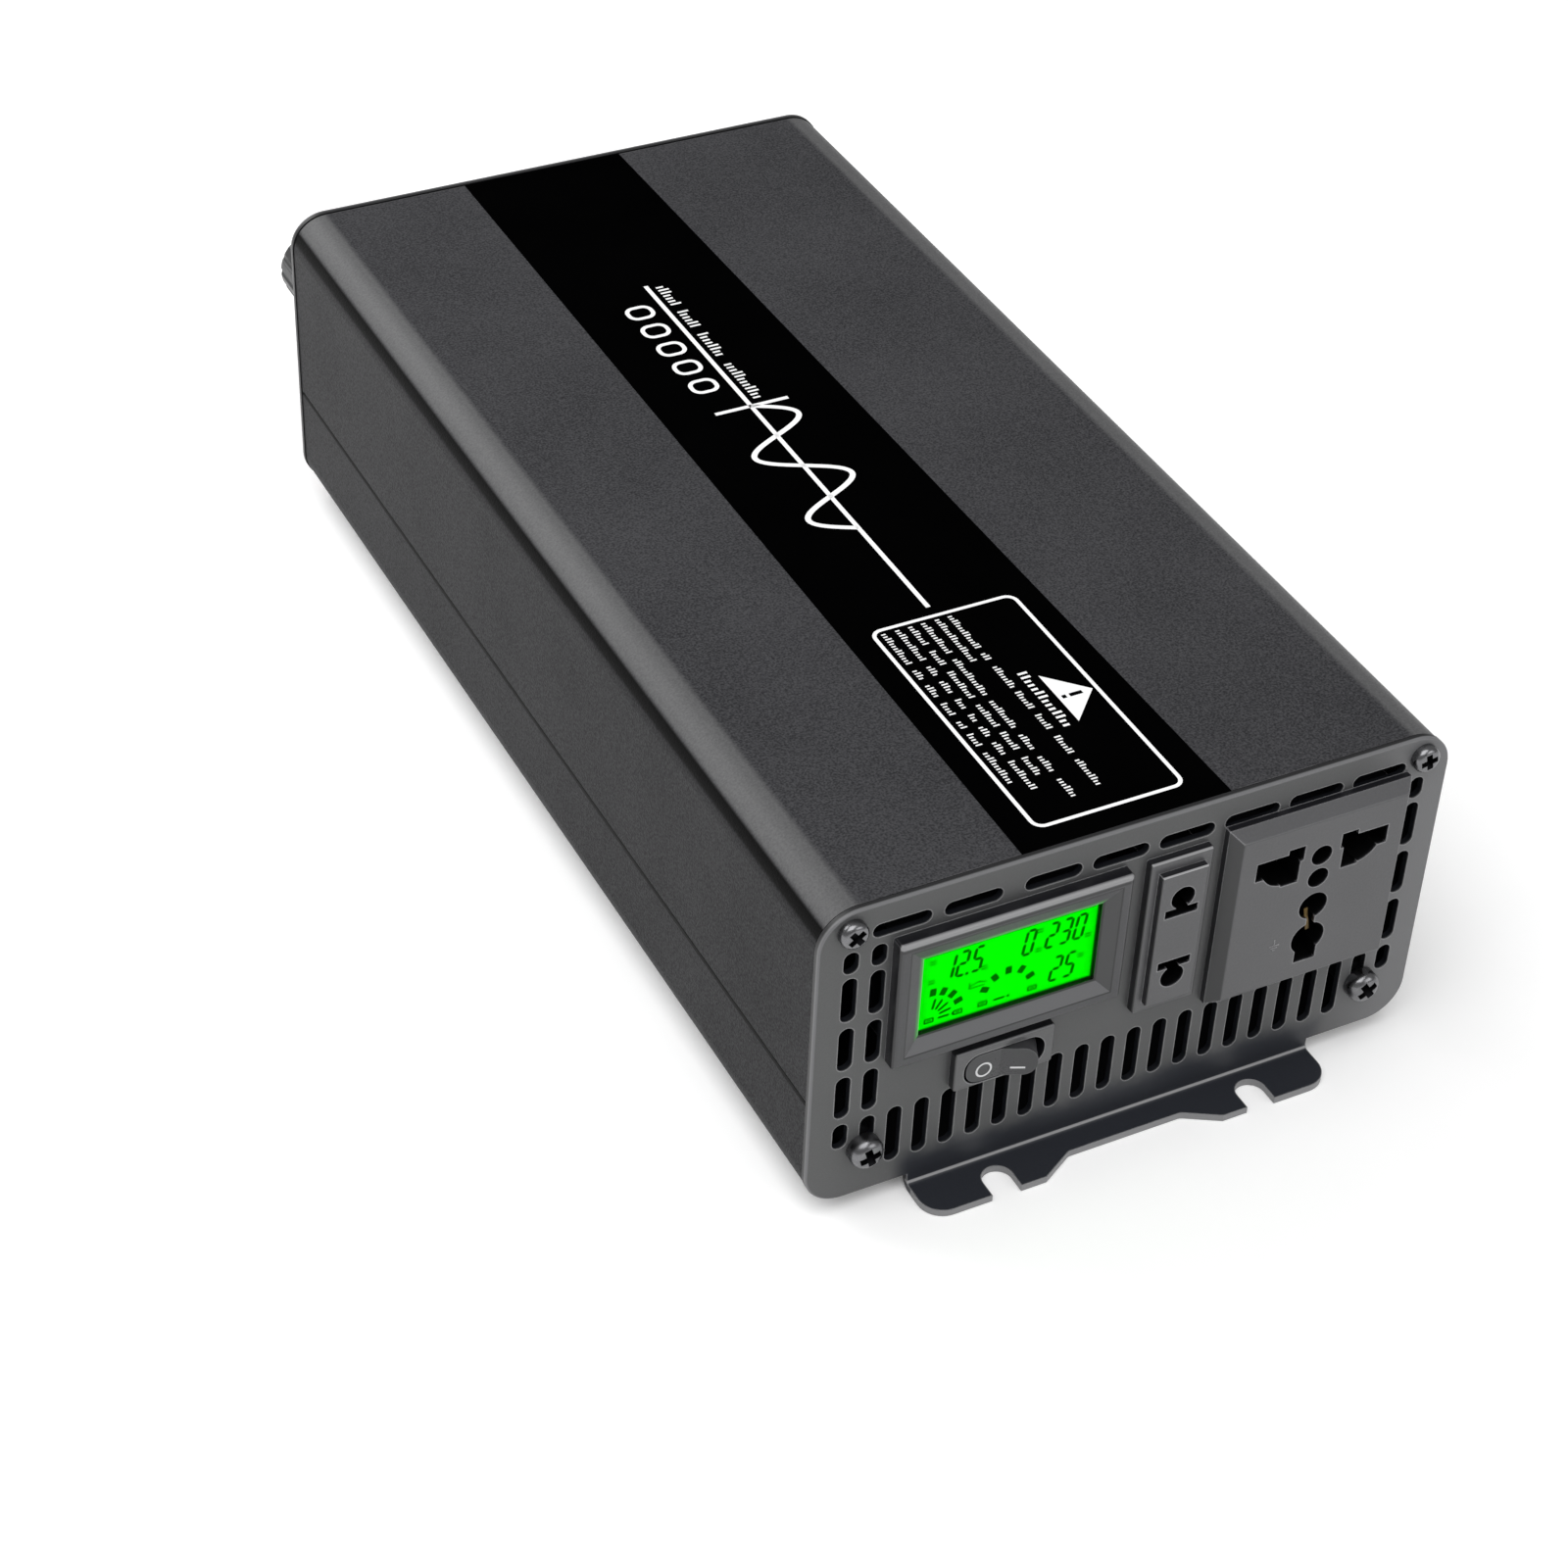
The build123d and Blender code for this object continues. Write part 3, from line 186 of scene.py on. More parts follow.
polished_and_highlit = math_node(worn_and_highlit_edges, "MULTIPLY", edge_turn, patches, clamp=True)
worn_and_highlit_edges.links.new(polished_and_highlit, worn_out.inputs["Mask"])

# Inside of the case's outline, as a soft mask: 1 within the rounded box, 0 outside.
CASE_MIDDLE_Z = (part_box("lower_tray")[0].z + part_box("upper_cover")[1].z) / 2
within_case, within_in, within_out = group(
    "inside the case",
    [("Half Width", 0.065), ("Half Height", 0.03415), ("Corner", 0.007)],
    ["Mask"],
)
OUTLINE_SOFTNESS = 0.0001
across_x, _, across_z = axes(within_case)
reach = []
for across, middle, size in (
    (across_x, 0.0, "Half Width"), (across_z, CASE_MIDDLE_Z, "Half Height")
):
    straight = less(within_case, within_in.outputs[size], within_in.outputs["Corner"])
    past = less(within_case, away_from(within_case, across, middle), straight)
    reach.append(math_node(within_case, "POWER", most(within_case, past, 0.0), 2.0))
corner = math_node(within_case, "SQRT", math_node(within_case, "ADD", *reach))
depth = less(within_case, corner, within_in.outputs["Corner"])
within_mask = ramp(within_case, depth, OUTLINE_SOFTNESS, -OUTLINE_SOFTNESS)
within_case.links.new(within_mask, within_out.inputs["Mask"])


def grey(level, blue=None):
    """Grey of an even level, or with a blue part of its own."""
    return (level, level, level if blue is None else blue)


class Finish:
    """One material, with its Principled shader and short ways to feed it."""

    def __init__(self, name, colour, roughness, metallic=0.0):
        self.material = bpy.data.materials.new(name)
        self.material.use_nodes = True
        self.tree = self.material.node_tree
        self.shader = self.tree.nodes["Principled BSDF"]
        self.shader.inputs["Base Color"].default_value = (*colour, 1.0)
        self.shader.inputs["Roughness"].default_value = roughness
        self.shader.inputs["Metallic"].default_value = metallic

    def fixed(self, **values):
        """Sets plain values on the shader's own sockets."""
        for label, value in values.items():
            self.shader.inputs[label.replace("_", " ")].default_value = value

    def use(self, tree, **values):
        """Places a shared group with its own values."""
        placed = self.tree.nodes.new("ShaderNodeGroup")
        placed.node_tree = tree
        for label, value in values.items():
            placed.inputs[label.replace("_", " ")].default_value = value
        return placed.outputs

    def blend(self, factor, first, second):
        """Mixed colour; each of first and second is a colour or a socket."""
        mix = self.tree.nodes.new("ShaderNodeMix")
        mix.data_type = "RGBA"
        self.tree.links.new(factor, mix.inputs[0])
        for socket, value in ((mix.inputs[6], first), (mix.inputs[7], second)):
            if isinstance(value, tuple):
                socket.default_value = (*value, 1.0)
            else:
                self.tree.links.new(value, socket)
        return mix.outputs[2]

    def colour(self, socket):
        self.shade = socket
        self.tree.links.new(socket, self.shader.inputs["Base Color"])

    def over(self, mask, tone):
        """Lays a tone over the colour so far, where the mask is 1."""
        self.colour(self.blend(mask, self.shade, tone))

    def rough(self, tone, first, last, low=0.2, high=0.8):
        """Roughness that goes from first to last as the tone rises from low to high."""
        uneven = ramp(self.tree, tone, low, high, first, last)
        self.tree.links.new(uneven, self.shader.inputs["Roughness"])

    def glow(self, socket):
        """Emitted colour at its own brightness: a display's own light, or a painted glow."""
        self.tree.links.new(socket, self.shader.inputs["Emission Color"])
        self.fixed(Emission_Strength=1.0)

    def bump(self, height, strength, distance):
        raised = self.tree.nodes.new("ShaderNodeBump")
        raised.inputs["Strength"].default_value = strength
        raised.inputs["Distance"].default_value = distance
        self.tree.links.new(height, raised.inputs["Height"])
        self.tree.links.new(raised.outputs["Normal"], self.shader.inputs["Normal"])

    def onto(self, *names):
        """Gives the finish to CAD nodes."""
        for name in names:
            nodes[name].data.materials.clear()
            nodes[name].data.materials.append(self.material)


# Painted shade: the sides are painted darker than the top, darkest just under the rounded
# shoulders. Painted highlight: the shoulders themselves are painted lighter, and given a glossier
# coat.
FLAT_TOP_HALF, SHOULDER_HALF = 0.0570, 0.0588
SEAM_HALF = 0.00058
SEAM_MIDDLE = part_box("upper_cover")[0].z - 0.00025

case_coat = Finish("case coat", grey(0.034, 0.036), 0.5)
case_coat.fixed(Specular_IOR_Level=0.06, Coat_Roughness=0.45)
coat_tree = case_coat.tree
grain = case_coat.use(coat_grain, Scale=2300.0, Speckle=1.0)
mottle = ramp(coat_tree, grain["Tone"], 0.30, 0.90)
worn = case_coat.use(worn_and_highlit_edges, Radius=0.0005, Patchiness=150.0)
case_coat.colour(case_coat.blend(mottle, grey(0.018, 0.020), grey(0.062, 0.066)))
case_coat.over(worn["Mask"], grey(0.10, 0.102))
_, _, upward = facing(coat_tree)
case_x, _, case_z = axes(coat_tree)
# Painted shade: faces turned away from the top take a darker copy of the coat.
shaded_flank = case_coat.blend(mottle, grey(0.008, 0.009), grey(0.034, 0.036))
case_coat.over(ramp(coat_tree, upward, 0.50, 0.35), shaded_flank)
# Painted shade: a near-black band just under each shoulder.
shade_under_shoulder = band(coat_tree, upward, 0.20, 0.34, 0.54, 0.66)
case_coat.over(shade_under_shoulder, grey(0.001))
# Painted highlight: the shoulders are painted lighter; their coat weight adds real gloss.
past_flat = ramp(coat_tree, away_from(coat_tree, case_x, 0.0), FLAT_TOP_HALF, SHOULDER_HALF)
shoulder = product(coat_tree, ramp(coat_tree, upward, 0.54, 0.68), past_flat)
highlight_coat = case_coat.blend(mottle, grey(0.068, 0.070), grey(0.100, 0.102))
case_coat.over(shoulder, highlight_coat)
coat_tree.links.new(product(coat_tree, shoulder, 0.4), case_coat.shader.inputs["Coat Weight"])
# Painted shade: the seam between cover and tray is painted black.
in_seam = ramp(coat_tree, away_from(coat_tree, case_z, SEAM_MIDDLE), SEAM_HALF + 0.00012, SEAM_HALF)
case_coat.over(in_seam, grey(0.0))
# Painted shade: inside the case's outline the coat is painted near black.
inner = case_coat.use(within_case)
case_coat.over(inner["Mask"], grey(0.012, 0.013))
case_coat.rough(grain["Tone"], 0.60, 0.44, 0.0, 1.0)
case_coat.bump(grain["Height"], 0.4, 0.00006)
case_coat.onto("upper_cover", "lower_tray")

# ---- Circuit boards
# Glass-fibre boards with a dark green solder mask over etched tracks: the power board on its
# brass posts, and a small control board standing on edge. Chips are black moulded epoxy.

tracks, tracks_in, tracks_out = group("etched tracks", [("Pitch", 260.0)], ["Mask", "Height"])
lane = tracks.nodes.new("ShaderNodeTexBrick")
lane.inputs["Mortar Size"].default_value = 0.12
lane.inputs["Brick Width"].default_value = 3.2
lane.inputs["Row Height"].default_value = 0.8
tracks.links.new(object_place(tracks), lane.inputs["Vector"])
tracks.links.new(tracks_in.outputs["Pitch"], lane.inputs["Scale"])
wander = noise(tracks, 60.0, 2.0)
copper_lane = product(tracks, lane.outputs["Fac"], ramp(tracks, wander, 0.42, 0.5))
tracks.links.new(copper_lane, tracks_out.inputs["Mask"])
tracks.links.new(copper_lane, tracks_out.inputs["Height"])


def skin_group(name, scale, detail, slow_scale, slow_detail, stretch=None):
    """Fine grain whose scale is an input, over slow changes of tone."""
    tree, into, out = group(name, [("Scale", scale), ("Contrast", 0.5)], ["Height", "Tone"])
    grain = noise(tree, into.outputs["Scale"], detail, stretch)
    drift = product(tree, noise(tree, slow_scale, slow_detail), 0.5)
    uneven = product(tree, grain, into.outputs["Contrast"])
    tree.links.new(grain, out.inputs["Height"])
    tree.links.new(math_node(tree, "ADD", drift, uneven, clamp=True), out.inputs["Tone"])
    return tree


moulded = skin_group("moulded skin", 3200.0, 4.0, 60.0, 2.0)
brushed = skin_group("worked metal", 900.0, 5.0, 120.0, 3.0, stretch=(1.0, 0.08, 1.0))


def moulding(
    name, dark, light, rough_low, rough_high, scale=3200.0, rubbed=None, skin_depth=0.00004
):
    """Moulded plastic, epoxy or print: mottled between two tones, with a fine skin."""
    made = Finish(name, dark, rough_high)
    skin = made.use(moulded, Scale=scale)
    made.colour(made.blend(skin["Tone"], dark, light))
    if rubbed:
        edges = made.use(worn_and_highlit_edges, Radius=0.0004, Patchiness=300.0)
        made.over(edges["Mask"], rubbed)
    made.rough(skin["Tone"], rough_high, rough_low)
    if skin_depth:
        made.bump(skin["Height"], 0.25, skin_depth)
    return made


def metal(name, dark, light, rough_low, rough_high, scale=900.0, strength=0.2):
    """Bare or plated metal with fine working marks and slight staining."""
    made = Finish(name, light, rough_high, metallic=1.0)
    marks = made.use(brushed, Scale=scale)
    made.colour(made.blend(marks["Tone"], dark, light))
    made.rough(marks["Tone"], rough_high, rough_low)
    made.bump(marks["Height"], strength, 0.00003)
    return made


board = Finish("solder mask", (0.010, 0.045, 0.022), 0.35)
etched = board.use(tracks)
mottled = board.use(moulded, Scale=900.0)
masked = board.blend(mottled["Tone"], (0.006, 0.030, 0.014), (0.014, 0.055, 0.028))
board.colour(board.blend(etched["Mask"], masked, (0.03, 0.10, 0.045)))
board.rough(mottled["Tone"], 0.45, 0.3)
board.bump(etched["Height"], 0.3, 0.00003)
board.onto("main_board", "control_board", "meter_board")

zinc = metal("zinc plate", grey(0.36, 0.37), grey(0.62, 0.63), 0.25, 0.42)
zinc.onto("board_standoffs", "board_screws")
epoxy = moulding("chip epoxy", grey(0.010, 0.011), grey(0.022, 0.023), 0.45, 0.62)
epoxy.onto("control_chips")

# ---- Heat sinks and power transistors
# Finned aluminium extrusions with sawn ends, and black transistors screwed flat against them.

mill = metal("mill aluminium", (0.42, 0.43, 0.44), (0.66, 0.67, 0.68), 0.32, 0.5, scale=600.0)
mill.onto("heat_sinks")
epoxy.onto("power_transistors")
zinc.onto("transistor_screws")

# ---- Transformers, choke and capacitors
# Ferrite cores sintered dull grey, wound with varnished copper wire; aluminium cans in a
# shrunk plastic sleeve with a pale stripe.

ferrite = moulding(
    "sintered ferrite", grey(0.030, 0.032), grey(0.060, 0.063), 0.55, 0.75,
    scale=1500.0,
)
ferrite.onto("transformer_cores", "output_choke_core")

enamel = Finish("enamelled wire", (0.42, 0.16, 0.05), 0.35, metallic=0.8)
lay = enamel.use(brushed, Scale=1400.0)
turns = enamel.tree.nodes.new("ShaderNodeTexWave")
turns.wave_type = "BANDS"
turns.bands_direction = "Z"
turns.inputs["Scale"].default_value = 160.0
turns.inputs["Distortion"].default_value = 0.4
enamel.tree.links.new(object_place(enamel.tree), turns.inputs["Vector"])
varnished = enamel.blend(turns.outputs["Fac"], (0.16, 0.045, 0.012), (0.52, 0.21, 0.07))
enamel.colour(enamel.blend(lay["Tone"], varnished, (0.40, 0.15, 0.05)))
enamel.rough(lay["Tone"], 0.42, 0.28)
enamel.bump(turns.outputs["Fac"], 0.7, 0.0003)
enamel.onto("transformer_windings", "output_choke_winding")

sleeve = Finish("shrink sleeve", (0.02, 0.03, 0.07), 0.3)
shrunk = sleeve.use(moulded, Scale=700.0)
STRIPES_PER_METRE = 420.0
_, along_can, _ = axes(sleeve.tree)
ripple = math_node(sleeve.tree, "SINE", product(sleeve.tree, along_can, STRIPES_PER_METRE))
stripe = ramp(sleeve.tree, ripple, 0.93, 0.97)
inked = sleeve.blend(shrunk["Tone"], (0.012, 0.020, 0.055), (0.030, 0.042, 0.090))
sleeve.colour(sleeve.blend(stripe, inked, (0.35, 0.36, 0.38)))
sleeve.rough(shrunk["Tone"], 0.4, 0.25)
sleeve.bump(shrunk["Height"], 0.15, 0.00005)
sleeve.onto("input_capacitors", "bus_capacitors")

# ---- Fuses and battery straps
# Blade fuses of tinted plastic in black holders, and punched copper straps from the terminals.

holder = moulding("holder plastic", grey(0.014, 0.015), grey(0.028, 0.030), 0.4, 0.55)
holder.onto("fuse_holders")
amber = moulding("fuse plastic", (0.55, 0.16, 0.01), (0.72, 0.27, 0.02), 0.2, 0.32, scale=900.0)
amber.onto("blade_fuses")
strap = metal("punched copper", (0.50, 0.20, 0.10), (0.78, 0.40, 0.24), 0.28, 0.45)
strap.onto("negative_strap", "positive_strap")

# ---- Leads
# Stranded wire in soft extruded insulation, one colour for each circuit.


def insulation(name, dark, light, *leads):
    """Soft extruded sleeve, slightly chalky, for the named leads."""
    made = moulding(name, dark, light, 0.34, 0.5, scale=1100.0)
    made.onto(*leads)


insulation("brown lead", (0.070, 0.026, 0.010), (0.120, 0.048, 0.020), "live_wire")
insulation("blue lead", (0.008, 0.040, 0.160), (0.016, 0.075, 0.260), "neutral_wire")
insulation("green lead", (0.020, 0.120, 0.020), (0.045, 0.200, 0.035), "earth_wire")
insulation("red lead", (0.260, 0.010, 0.008), (0.420, 0.022, 0.016), "switch_wires", "fan_wires")
insulation("black lead", grey(0.010), grey(0.022, 0.023), "meter_wires")

# ---- Fan
# Square axial fan moulded in black glass-filled plastic. Its cup carries seven blades round a
# wound motor; a welded wire guard is screwed over it from outside.

fan_plastic = moulding(
    "fan plastic", grey(0.014, 0.015), grey(0.030, 0.031), 0.38, 0.52,
    rubbed=grey(0.05, 0.051),
)
fan_plastic.onto("fan_frame", "fan_rotor")
enamel.onto("fan_motor")
ground_steel = metal("ground steel", grey(0.45, 0.46), grey(0.70, 0.71), 0.15, 0.28)
ground_steel.onto("fan_shaft", "switch_pivot")
chrome = metal(
    "bright plate", grey(0.55, 0.56), grey(0.80, 0.81), 0.10, 0.22,
    scale=500.0, strength=0.08,
)
chrome.onto("fan_guard")

# ---- Rear panel and battery terminals
# Punched and folded steel panel in dark grey powder coat. Two plated studs pass through it in
# insulating collars and carry a washer and a fluted screw-down knob each, black and red.

# The panels' outer faces and lower edge, from parts that stand proud of or above them.
OUTLET_PROUD, COLLAR_PROUD = 0.004, 0.006
TRAY_SCREW_RADIUS, TRAY_SCREW_RISE = 0.0034, 0.0117
FRONT_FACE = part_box("outlet_face")[0].y + OUTLET_PROUD
REAR_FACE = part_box("negative_collar")[1].y - COLLAR_PROUD
PANEL_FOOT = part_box("case_screws_bottom")[0].z + TRAY_SCREW_RADIUS - TRAY_SCREW_RISE
# Half the flange's width, outlines of the panel's rim and of the room behind it, and how far
# below the lower edge the fold's painted highlight runs.
FLANGE_HALF = 0.049
RIM = {"Half_Width": 0.06565, "Half_Height": 0.0348, "Corner": 0.0077}
WELL_INSIDE = {"Half_Width": 0.0652, "Half_Height": 0.0345}
FOLD_DROP = 0.0018


def panel_coat(name, face, way):
    """Coat of one panel: way is -1 for the front panel, whose outer side faces -Y."""
    made = Finish(name, grey(0.11), 0.42)
    tree = made.tree
    fine_coat = made.use(coat_grain, Scale=3000.0, Speckle=0.5)
    made.colour(made.blend(fine_coat["Tone"], (0.057, 0.058, 0.059), (0.083, 0.084, 0.085)))
    bare = made.use(worn_and_highlit_edges, Radius=0.00045, Patchiness=220.0, Evenness=0.6)
    x, y, z = axes(tree)
    # Painted light: the coat is painted a little paler towards one end.
    made.over(ramp(tree, x, 0.044, 0.062), (0.128, 0.129, 0.133))
    # Painted shade: the fold and the foot of the panel are painted blue-black, clouding up into the
    # grey.
    rise = less(tree, z, PANEL_FOOT)
    drift = less(tree, noise(tree, 140.0, 3.0), 0.5)
    clouded = math_node(tree, "ADD", rise, product(tree, drift, 0.006))
    off_middle = away_from(tree, x, 0.0)
    middle = ramp(tree, off_middle, FLANGE_HALF, FLANGE_HALF - 0.005)
    foot = product(tree, ramp(tree, clouded, 0.0085, 0.0025), middle)
    made.over(foot, (0.015, 0.017, 0.023))
    made.over(bare["Mask"], grey(0.32, 0.325))
    # Sheared edges of the flange are left bright.
    upright_edge = ramp(tree, away_from(tree, facing(tree)[2], 0.0), 0.4, 0.2)
    out = product(tree, less(tree, y, face), way)
    sheared = product(tree, upright_edge, ramp(tree, out, 0.0015, 0.0020))
    made.over(sheared, grey(0.20, 0.205))
    # The rim carries a painted highlight at its front arris and painted shade in the gap before the
    # case.
    rim = less(tree, 1.0, made.use(within_case, **RIM)["Mask"])
    in_front = ramp(tree, out, 0.0010, 0.0005)
    arris_highlight = product(tree, in_front, ramp(tree, out, -0.0007, -0.0004))
    beyond_flange = ramp(tree, off_middle, FLANGE_HALF, FLANGE_HALF + 0.002)
    off_fold = most(tree, ramp(tree, rise, 0.0006, 0.0030), beyond_flange)
    arris_highlight = product(tree, arris_highlight, off_fold)
    made.over(product(tree, rim, arris_highlight), grey(0.13, 0.135))
    # A painted highlight runs as a thin bright line along the fold.
    fold_highlight = ramp(tree, away_from(tree, rise, -FOLD_DROP), 0.00028, 0.00014)
    made.over(product(tree, fold_highlight, in_front), grey(0.26, 0.265))
    gap = ramp(tree, out, -0.0006, -0.0009)
    made.over(product(tree, rim, gap), grey(0.004, 0.005))
    # Painted shade: inside the case the panel and the walls of its slots are painted dark.
    behind = ramp(tree, out, -0.0002, -0.0004)
    hidden = product(tree, made.use(within_case, **WELL_INSIDE)["Mask"], behind)
    made.over(hidden, (0.008, 0.009, 0.012))
    made.rough(fine_coat["Tone"], 0.5, 0.34, 0.0, 1.0)
    made.bump(fine_coat["Height"], 0.25, 0.00005)
    return made


panel_coat("rear panel coat", REAR_FACE, 1).onto("rear_panel")

black_knob = moulding(
    "black knob", grey(0.012, 0.013), grey(0.026, 0.027), 0.3, 0.42,
    rubbed=grey(0.07),
)
black_knob.onto("negative_collar", "negative_knob")
red_knob = moulding(
    "red knob", (0.36, 0.010, 0.010), (0.50, 0.022, 0.018), 0.28, 0.4,
    rubbed=(0.62, 0.09, 0.07),
)
red_knob.onto("positive_collar", "positive_knob")
brass = metal("plated brass", (0.42, 0.27, 0.09), (0.74, 0.52, 0.22), 0.2, 0.36)
brass.onto("terminal_studs", "switch_blades", "twin_outlet_contacts")
brass.onto("outlet_blade_contacts", "outlet_earth_contact")
zinc.onto("negative_washer", "positive_washer", "terminal_inner_nuts")

# ---- Front panel
# The same punched and folded steel as the rear one, with the vents in rows round the edge.

panel_coat("front panel coat", FRONT_FACE, -1).onto("front_panel")

# ---- Meter
# Clip-in module: a dark bezel sloping in to a clear window, and behind it a liquid crystal
# panel lit green, with digits, two dials of small blocks and their end marks.


def front_plastic(name, dark, light, arris_highlight, openings=None):
    """Satin plastic of what is clipped into the front panel: dark walls as painted shade, and
    worn arrises that are also lightened as painted highlights.

    arris_highlight is the painted highlight tone of the rounded outer edges where they face up.
    openings is (middle of the face, half width, half height) of a region whose holes are painted
    dark as painted shade.
    """
    made = Finish(name, dark, 0.36)
    tree = made.tree
    skin = made.use(moulded, Scale=2200.0, Contrast=0.8)
    made.colour(made.blend(skin["Tone"], dark, light))
    nx, ny, nz = facing(tree)
    outward = away_from(tree, ny, 0.0)
    # Painted highlight: arrises facing up are painted lighter, those facing sideways less so.
    if arris_highlight:
        side_arris_highlight = tuple(0.45 * c for c in arris_highlight)
        highlight_tone = made.blend(ramp(tree, nz, 0.0, 0.3), side_arris_highlight, arris_highlight)
        made.over(band(tree, outward, 0.12, 0.30, 0.86, 0.91), highlight_tone)
    # Painted shade: faces turned left or right are painted darker, and upright walls near black.
    for edge_on, past, part in ((-0.45, -0.70, 0.55), (0.35, 0.60, 0.35)):
        made.over(ramp(tree, nx, edge_on, past), tuple(part * c for c in dark))
    made.over(ramp(tree, outward, 0.30, 0.12), grey(0.010, 0.012))
    # Worn edges, painted lighter also as painted highlight.
    edges = made.use(worn_and_highlit_edges, Radius=0.0005, Patchiness=300.0, Evenness=0.5)
    made.over(edges["Mask"], grey(0.30, 0.31))
    # Painted shade: deep in the openings the plastic is painted near black.
    if openings:
        middle, half_wide, half_tall = openings
        x, y, z = axes(tree)
        beside, above = away_from(tree, x, middle.x), away_from(tree, z, middle.z)
        region = product(
            tree,
            ramp(tree, beside, half_wide, half_wide - 0.0002),
            ramp(tree, above, half_tall, half_tall - 0.0002),
        )
        sunk = ramp(tree, less(tree, y, middle.y), 0.00012, 0.0009)
        made.over(product(tree, region, sunk), grey(0.0015, 0.0017))
    made.rough(skin["Tone"], 0.42, 0.28)
    made.bump(skin["Height"], 0.35, 0.00005)
    return made


window = Finish("clear window", (1.0, 1.0, 1.0), 0.06)
window.fixed(Transmission_Weight=1.0, IOR=1.03)
smears = window.use(moulded, Scale=220.0)
window.rough(smears["Tone"], 0.0, 0.012, 0.3, 0.8)
window.onto("meter_window")

WINDOW_LOW, WINDOW_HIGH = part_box("meter_window")
WINDOW_MIDDLE = (WINDOW_LOW + WINDOW_HIGH) / 2
LCD_FRONT = WINDOW_HIGH.y + 0.00005
LCD_LIFT = 0.00003
BEZEL_LOW, BEZEL_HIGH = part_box("meter_bezel")
BEZEL_TOP = BEZEL_HIGH.z
BEZEL_RIM = 0.0023

# The bezel's slopes are painted lighter or darker by the way they face, as painted light: the
# lower one is lightest, the right one darkest. A painted green glow from the display lies on
# them, and a dark band of painted shade runs under the painted highlight on the upper ridge.
bezel_plastic = front_plastic(
    "bezel plastic", grey(0.027, 0.030), grey(0.051, 0.055), grey(0.12, 0.125)
)
bezel_tree = bezel_plastic.tree
slope_x, slope_y, slope_z = facing(bezel_tree)
bx, _, bz = axes(bezel_tree)
# Painted highlight on the upper ridge; painted shade in the band under it.
upper_ridge_highlight = product(
    bezel_tree,
    ramp(bezel_tree, bz, BEZEL_TOP - 0.0012, BEZEL_TOP - 0.0009),
    ramp(bezel_tree, away_from(bezel_tree, slope_y, 0.0), 0.35, 0.60),
)
shade_under_ridge = band(
    bezel_tree, bz, BEZEL_TOP - 0.0019, BEZEL_TOP - 0.0017, BEZEL_TOP - 0.0014, BEZEL_TOP - 0.0012
)
# A thin dark line is painted where the slopes meet the flat rim.
inward = []
for across, low, high in ((bx, BEZEL_LOW.x, BEZEL_HIGH.x), (bz, BEZEL_LOW.z, BEZEL_HIGH.z)):
    from_middle = away_from(bezel_tree, across, (low + high) / 2)
    inward.append(less(bezel_tree, (high - low) / 2 - BEZEL_RIM, from_middle))
from_rim = away_from(bezel_tree, math_node(bezel_tree, "MINIMUM", *inward), 0.0)
# A painted green glow falls past the window's left and upper edges; past the other two is
# painted shade.
past_left, past_right = less(bezel_tree, WINDOW_LOW.x, bx), less(bezel_tree, bx, WINDOW_HIGH.x)
past_top, past_foot = less(bezel_tree, bz, WINDOW_HIGH.z), less(bezel_tree, WINDOW_LOW.z, bz)
past_lit, past_dark = most(bezel_tree, past_left, past_top), most(bezel_tree, past_right, past_foot)
lit_side = ramp(bezel_tree, less(bezel_tree, past_lit, past_dark), -0.0002, 0.0004)
lit_rim = product(bezel_tree, ramp(bezel_tree, past_lit, 0.0012, -0.0002), lit_side)
shaded = ramp(bezel_tree, past_dark, 0.0005, 0.0003)
dark_rim = product(bezel_tree, shaded, less(bezel_tree, 1.0, lit_side))
for mask, tone in (
    (band(bezel_tree, slope_z, 0.2, 0.3, 0.42, 0.5), grey(0.100, 0.105)),
    (band(bezel_tree, slope_x, -0.2, -0.3, -0.42, -0.5), grey(0.040, 0.042)),
    (upper_ridge_highlight, grey(0.24, 0.245)),
    (shade_under_ridge, grey(0.016, 0.017)),
    (ramp(bezel_tree, from_rim, 0.00022, 0.00010), grey(0.014, 0.015)),
    (dark_rim, (0.008, 0.010, 0.008)),
):
    bezel_plastic.over(mask, tone)
# Painted glow: the bezel itself emits the display's green beside the window.
bezel_plastic.glow(bezel_plastic.blend(lit_rim, grey(0.0), (0.0, 0.34, 0.0)))
bezel_plastic.onto("meter_bezel")


def hang(name, data):
    """New object in the scene."""
    made = bpy.data.objects.new(name, data)
    bpy.context.scene.collection.objects.link(made)
    return made


def piece(name, mesh, finish, body, stands_for=()):
    """Turns a finished bmesh into a piece that rides on its body."""
    data = bpy.data.meshes.new(name)
    mesh.to_mesh(data)
    mesh.free()
    data.materials.append(finish.material)
    data.shade_smooth()
    data.set_sharp_from_angle(angle=math.radians(38))
    made = hang(name, data)
    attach(made, body)
    if stands_for:
        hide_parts(*stands_for)
    return made


def faces_round(corners):
    """Faces that meet at these corners, in the same order each run."""
    return list(dict.fromkeys(face for corner in corners for face in corner.link_faces))


def ease(mesh, edges, radius, segments=2):
    """Rounds edges of the mesh."""
    bmesh.ops.bevel(
        mesh, geom=edges, offset=radius, affect="EDGES", segments=segments, profile=0.5, material=-1
    )


def block(mesh, centre, size, turn=None):
    """Adds a box, turned about its own centre by a 4x4 matrix; returns its vertices."""
    turned_box = (turn or Matrix.Identity(4)) @ Matrix.Diagonal((*size, 1.0))
    place = Matrix.Translation(centre) @ turned_box
    return bmesh.ops.create_cube(mesh, size=1.0, matrix=place)["verts"]


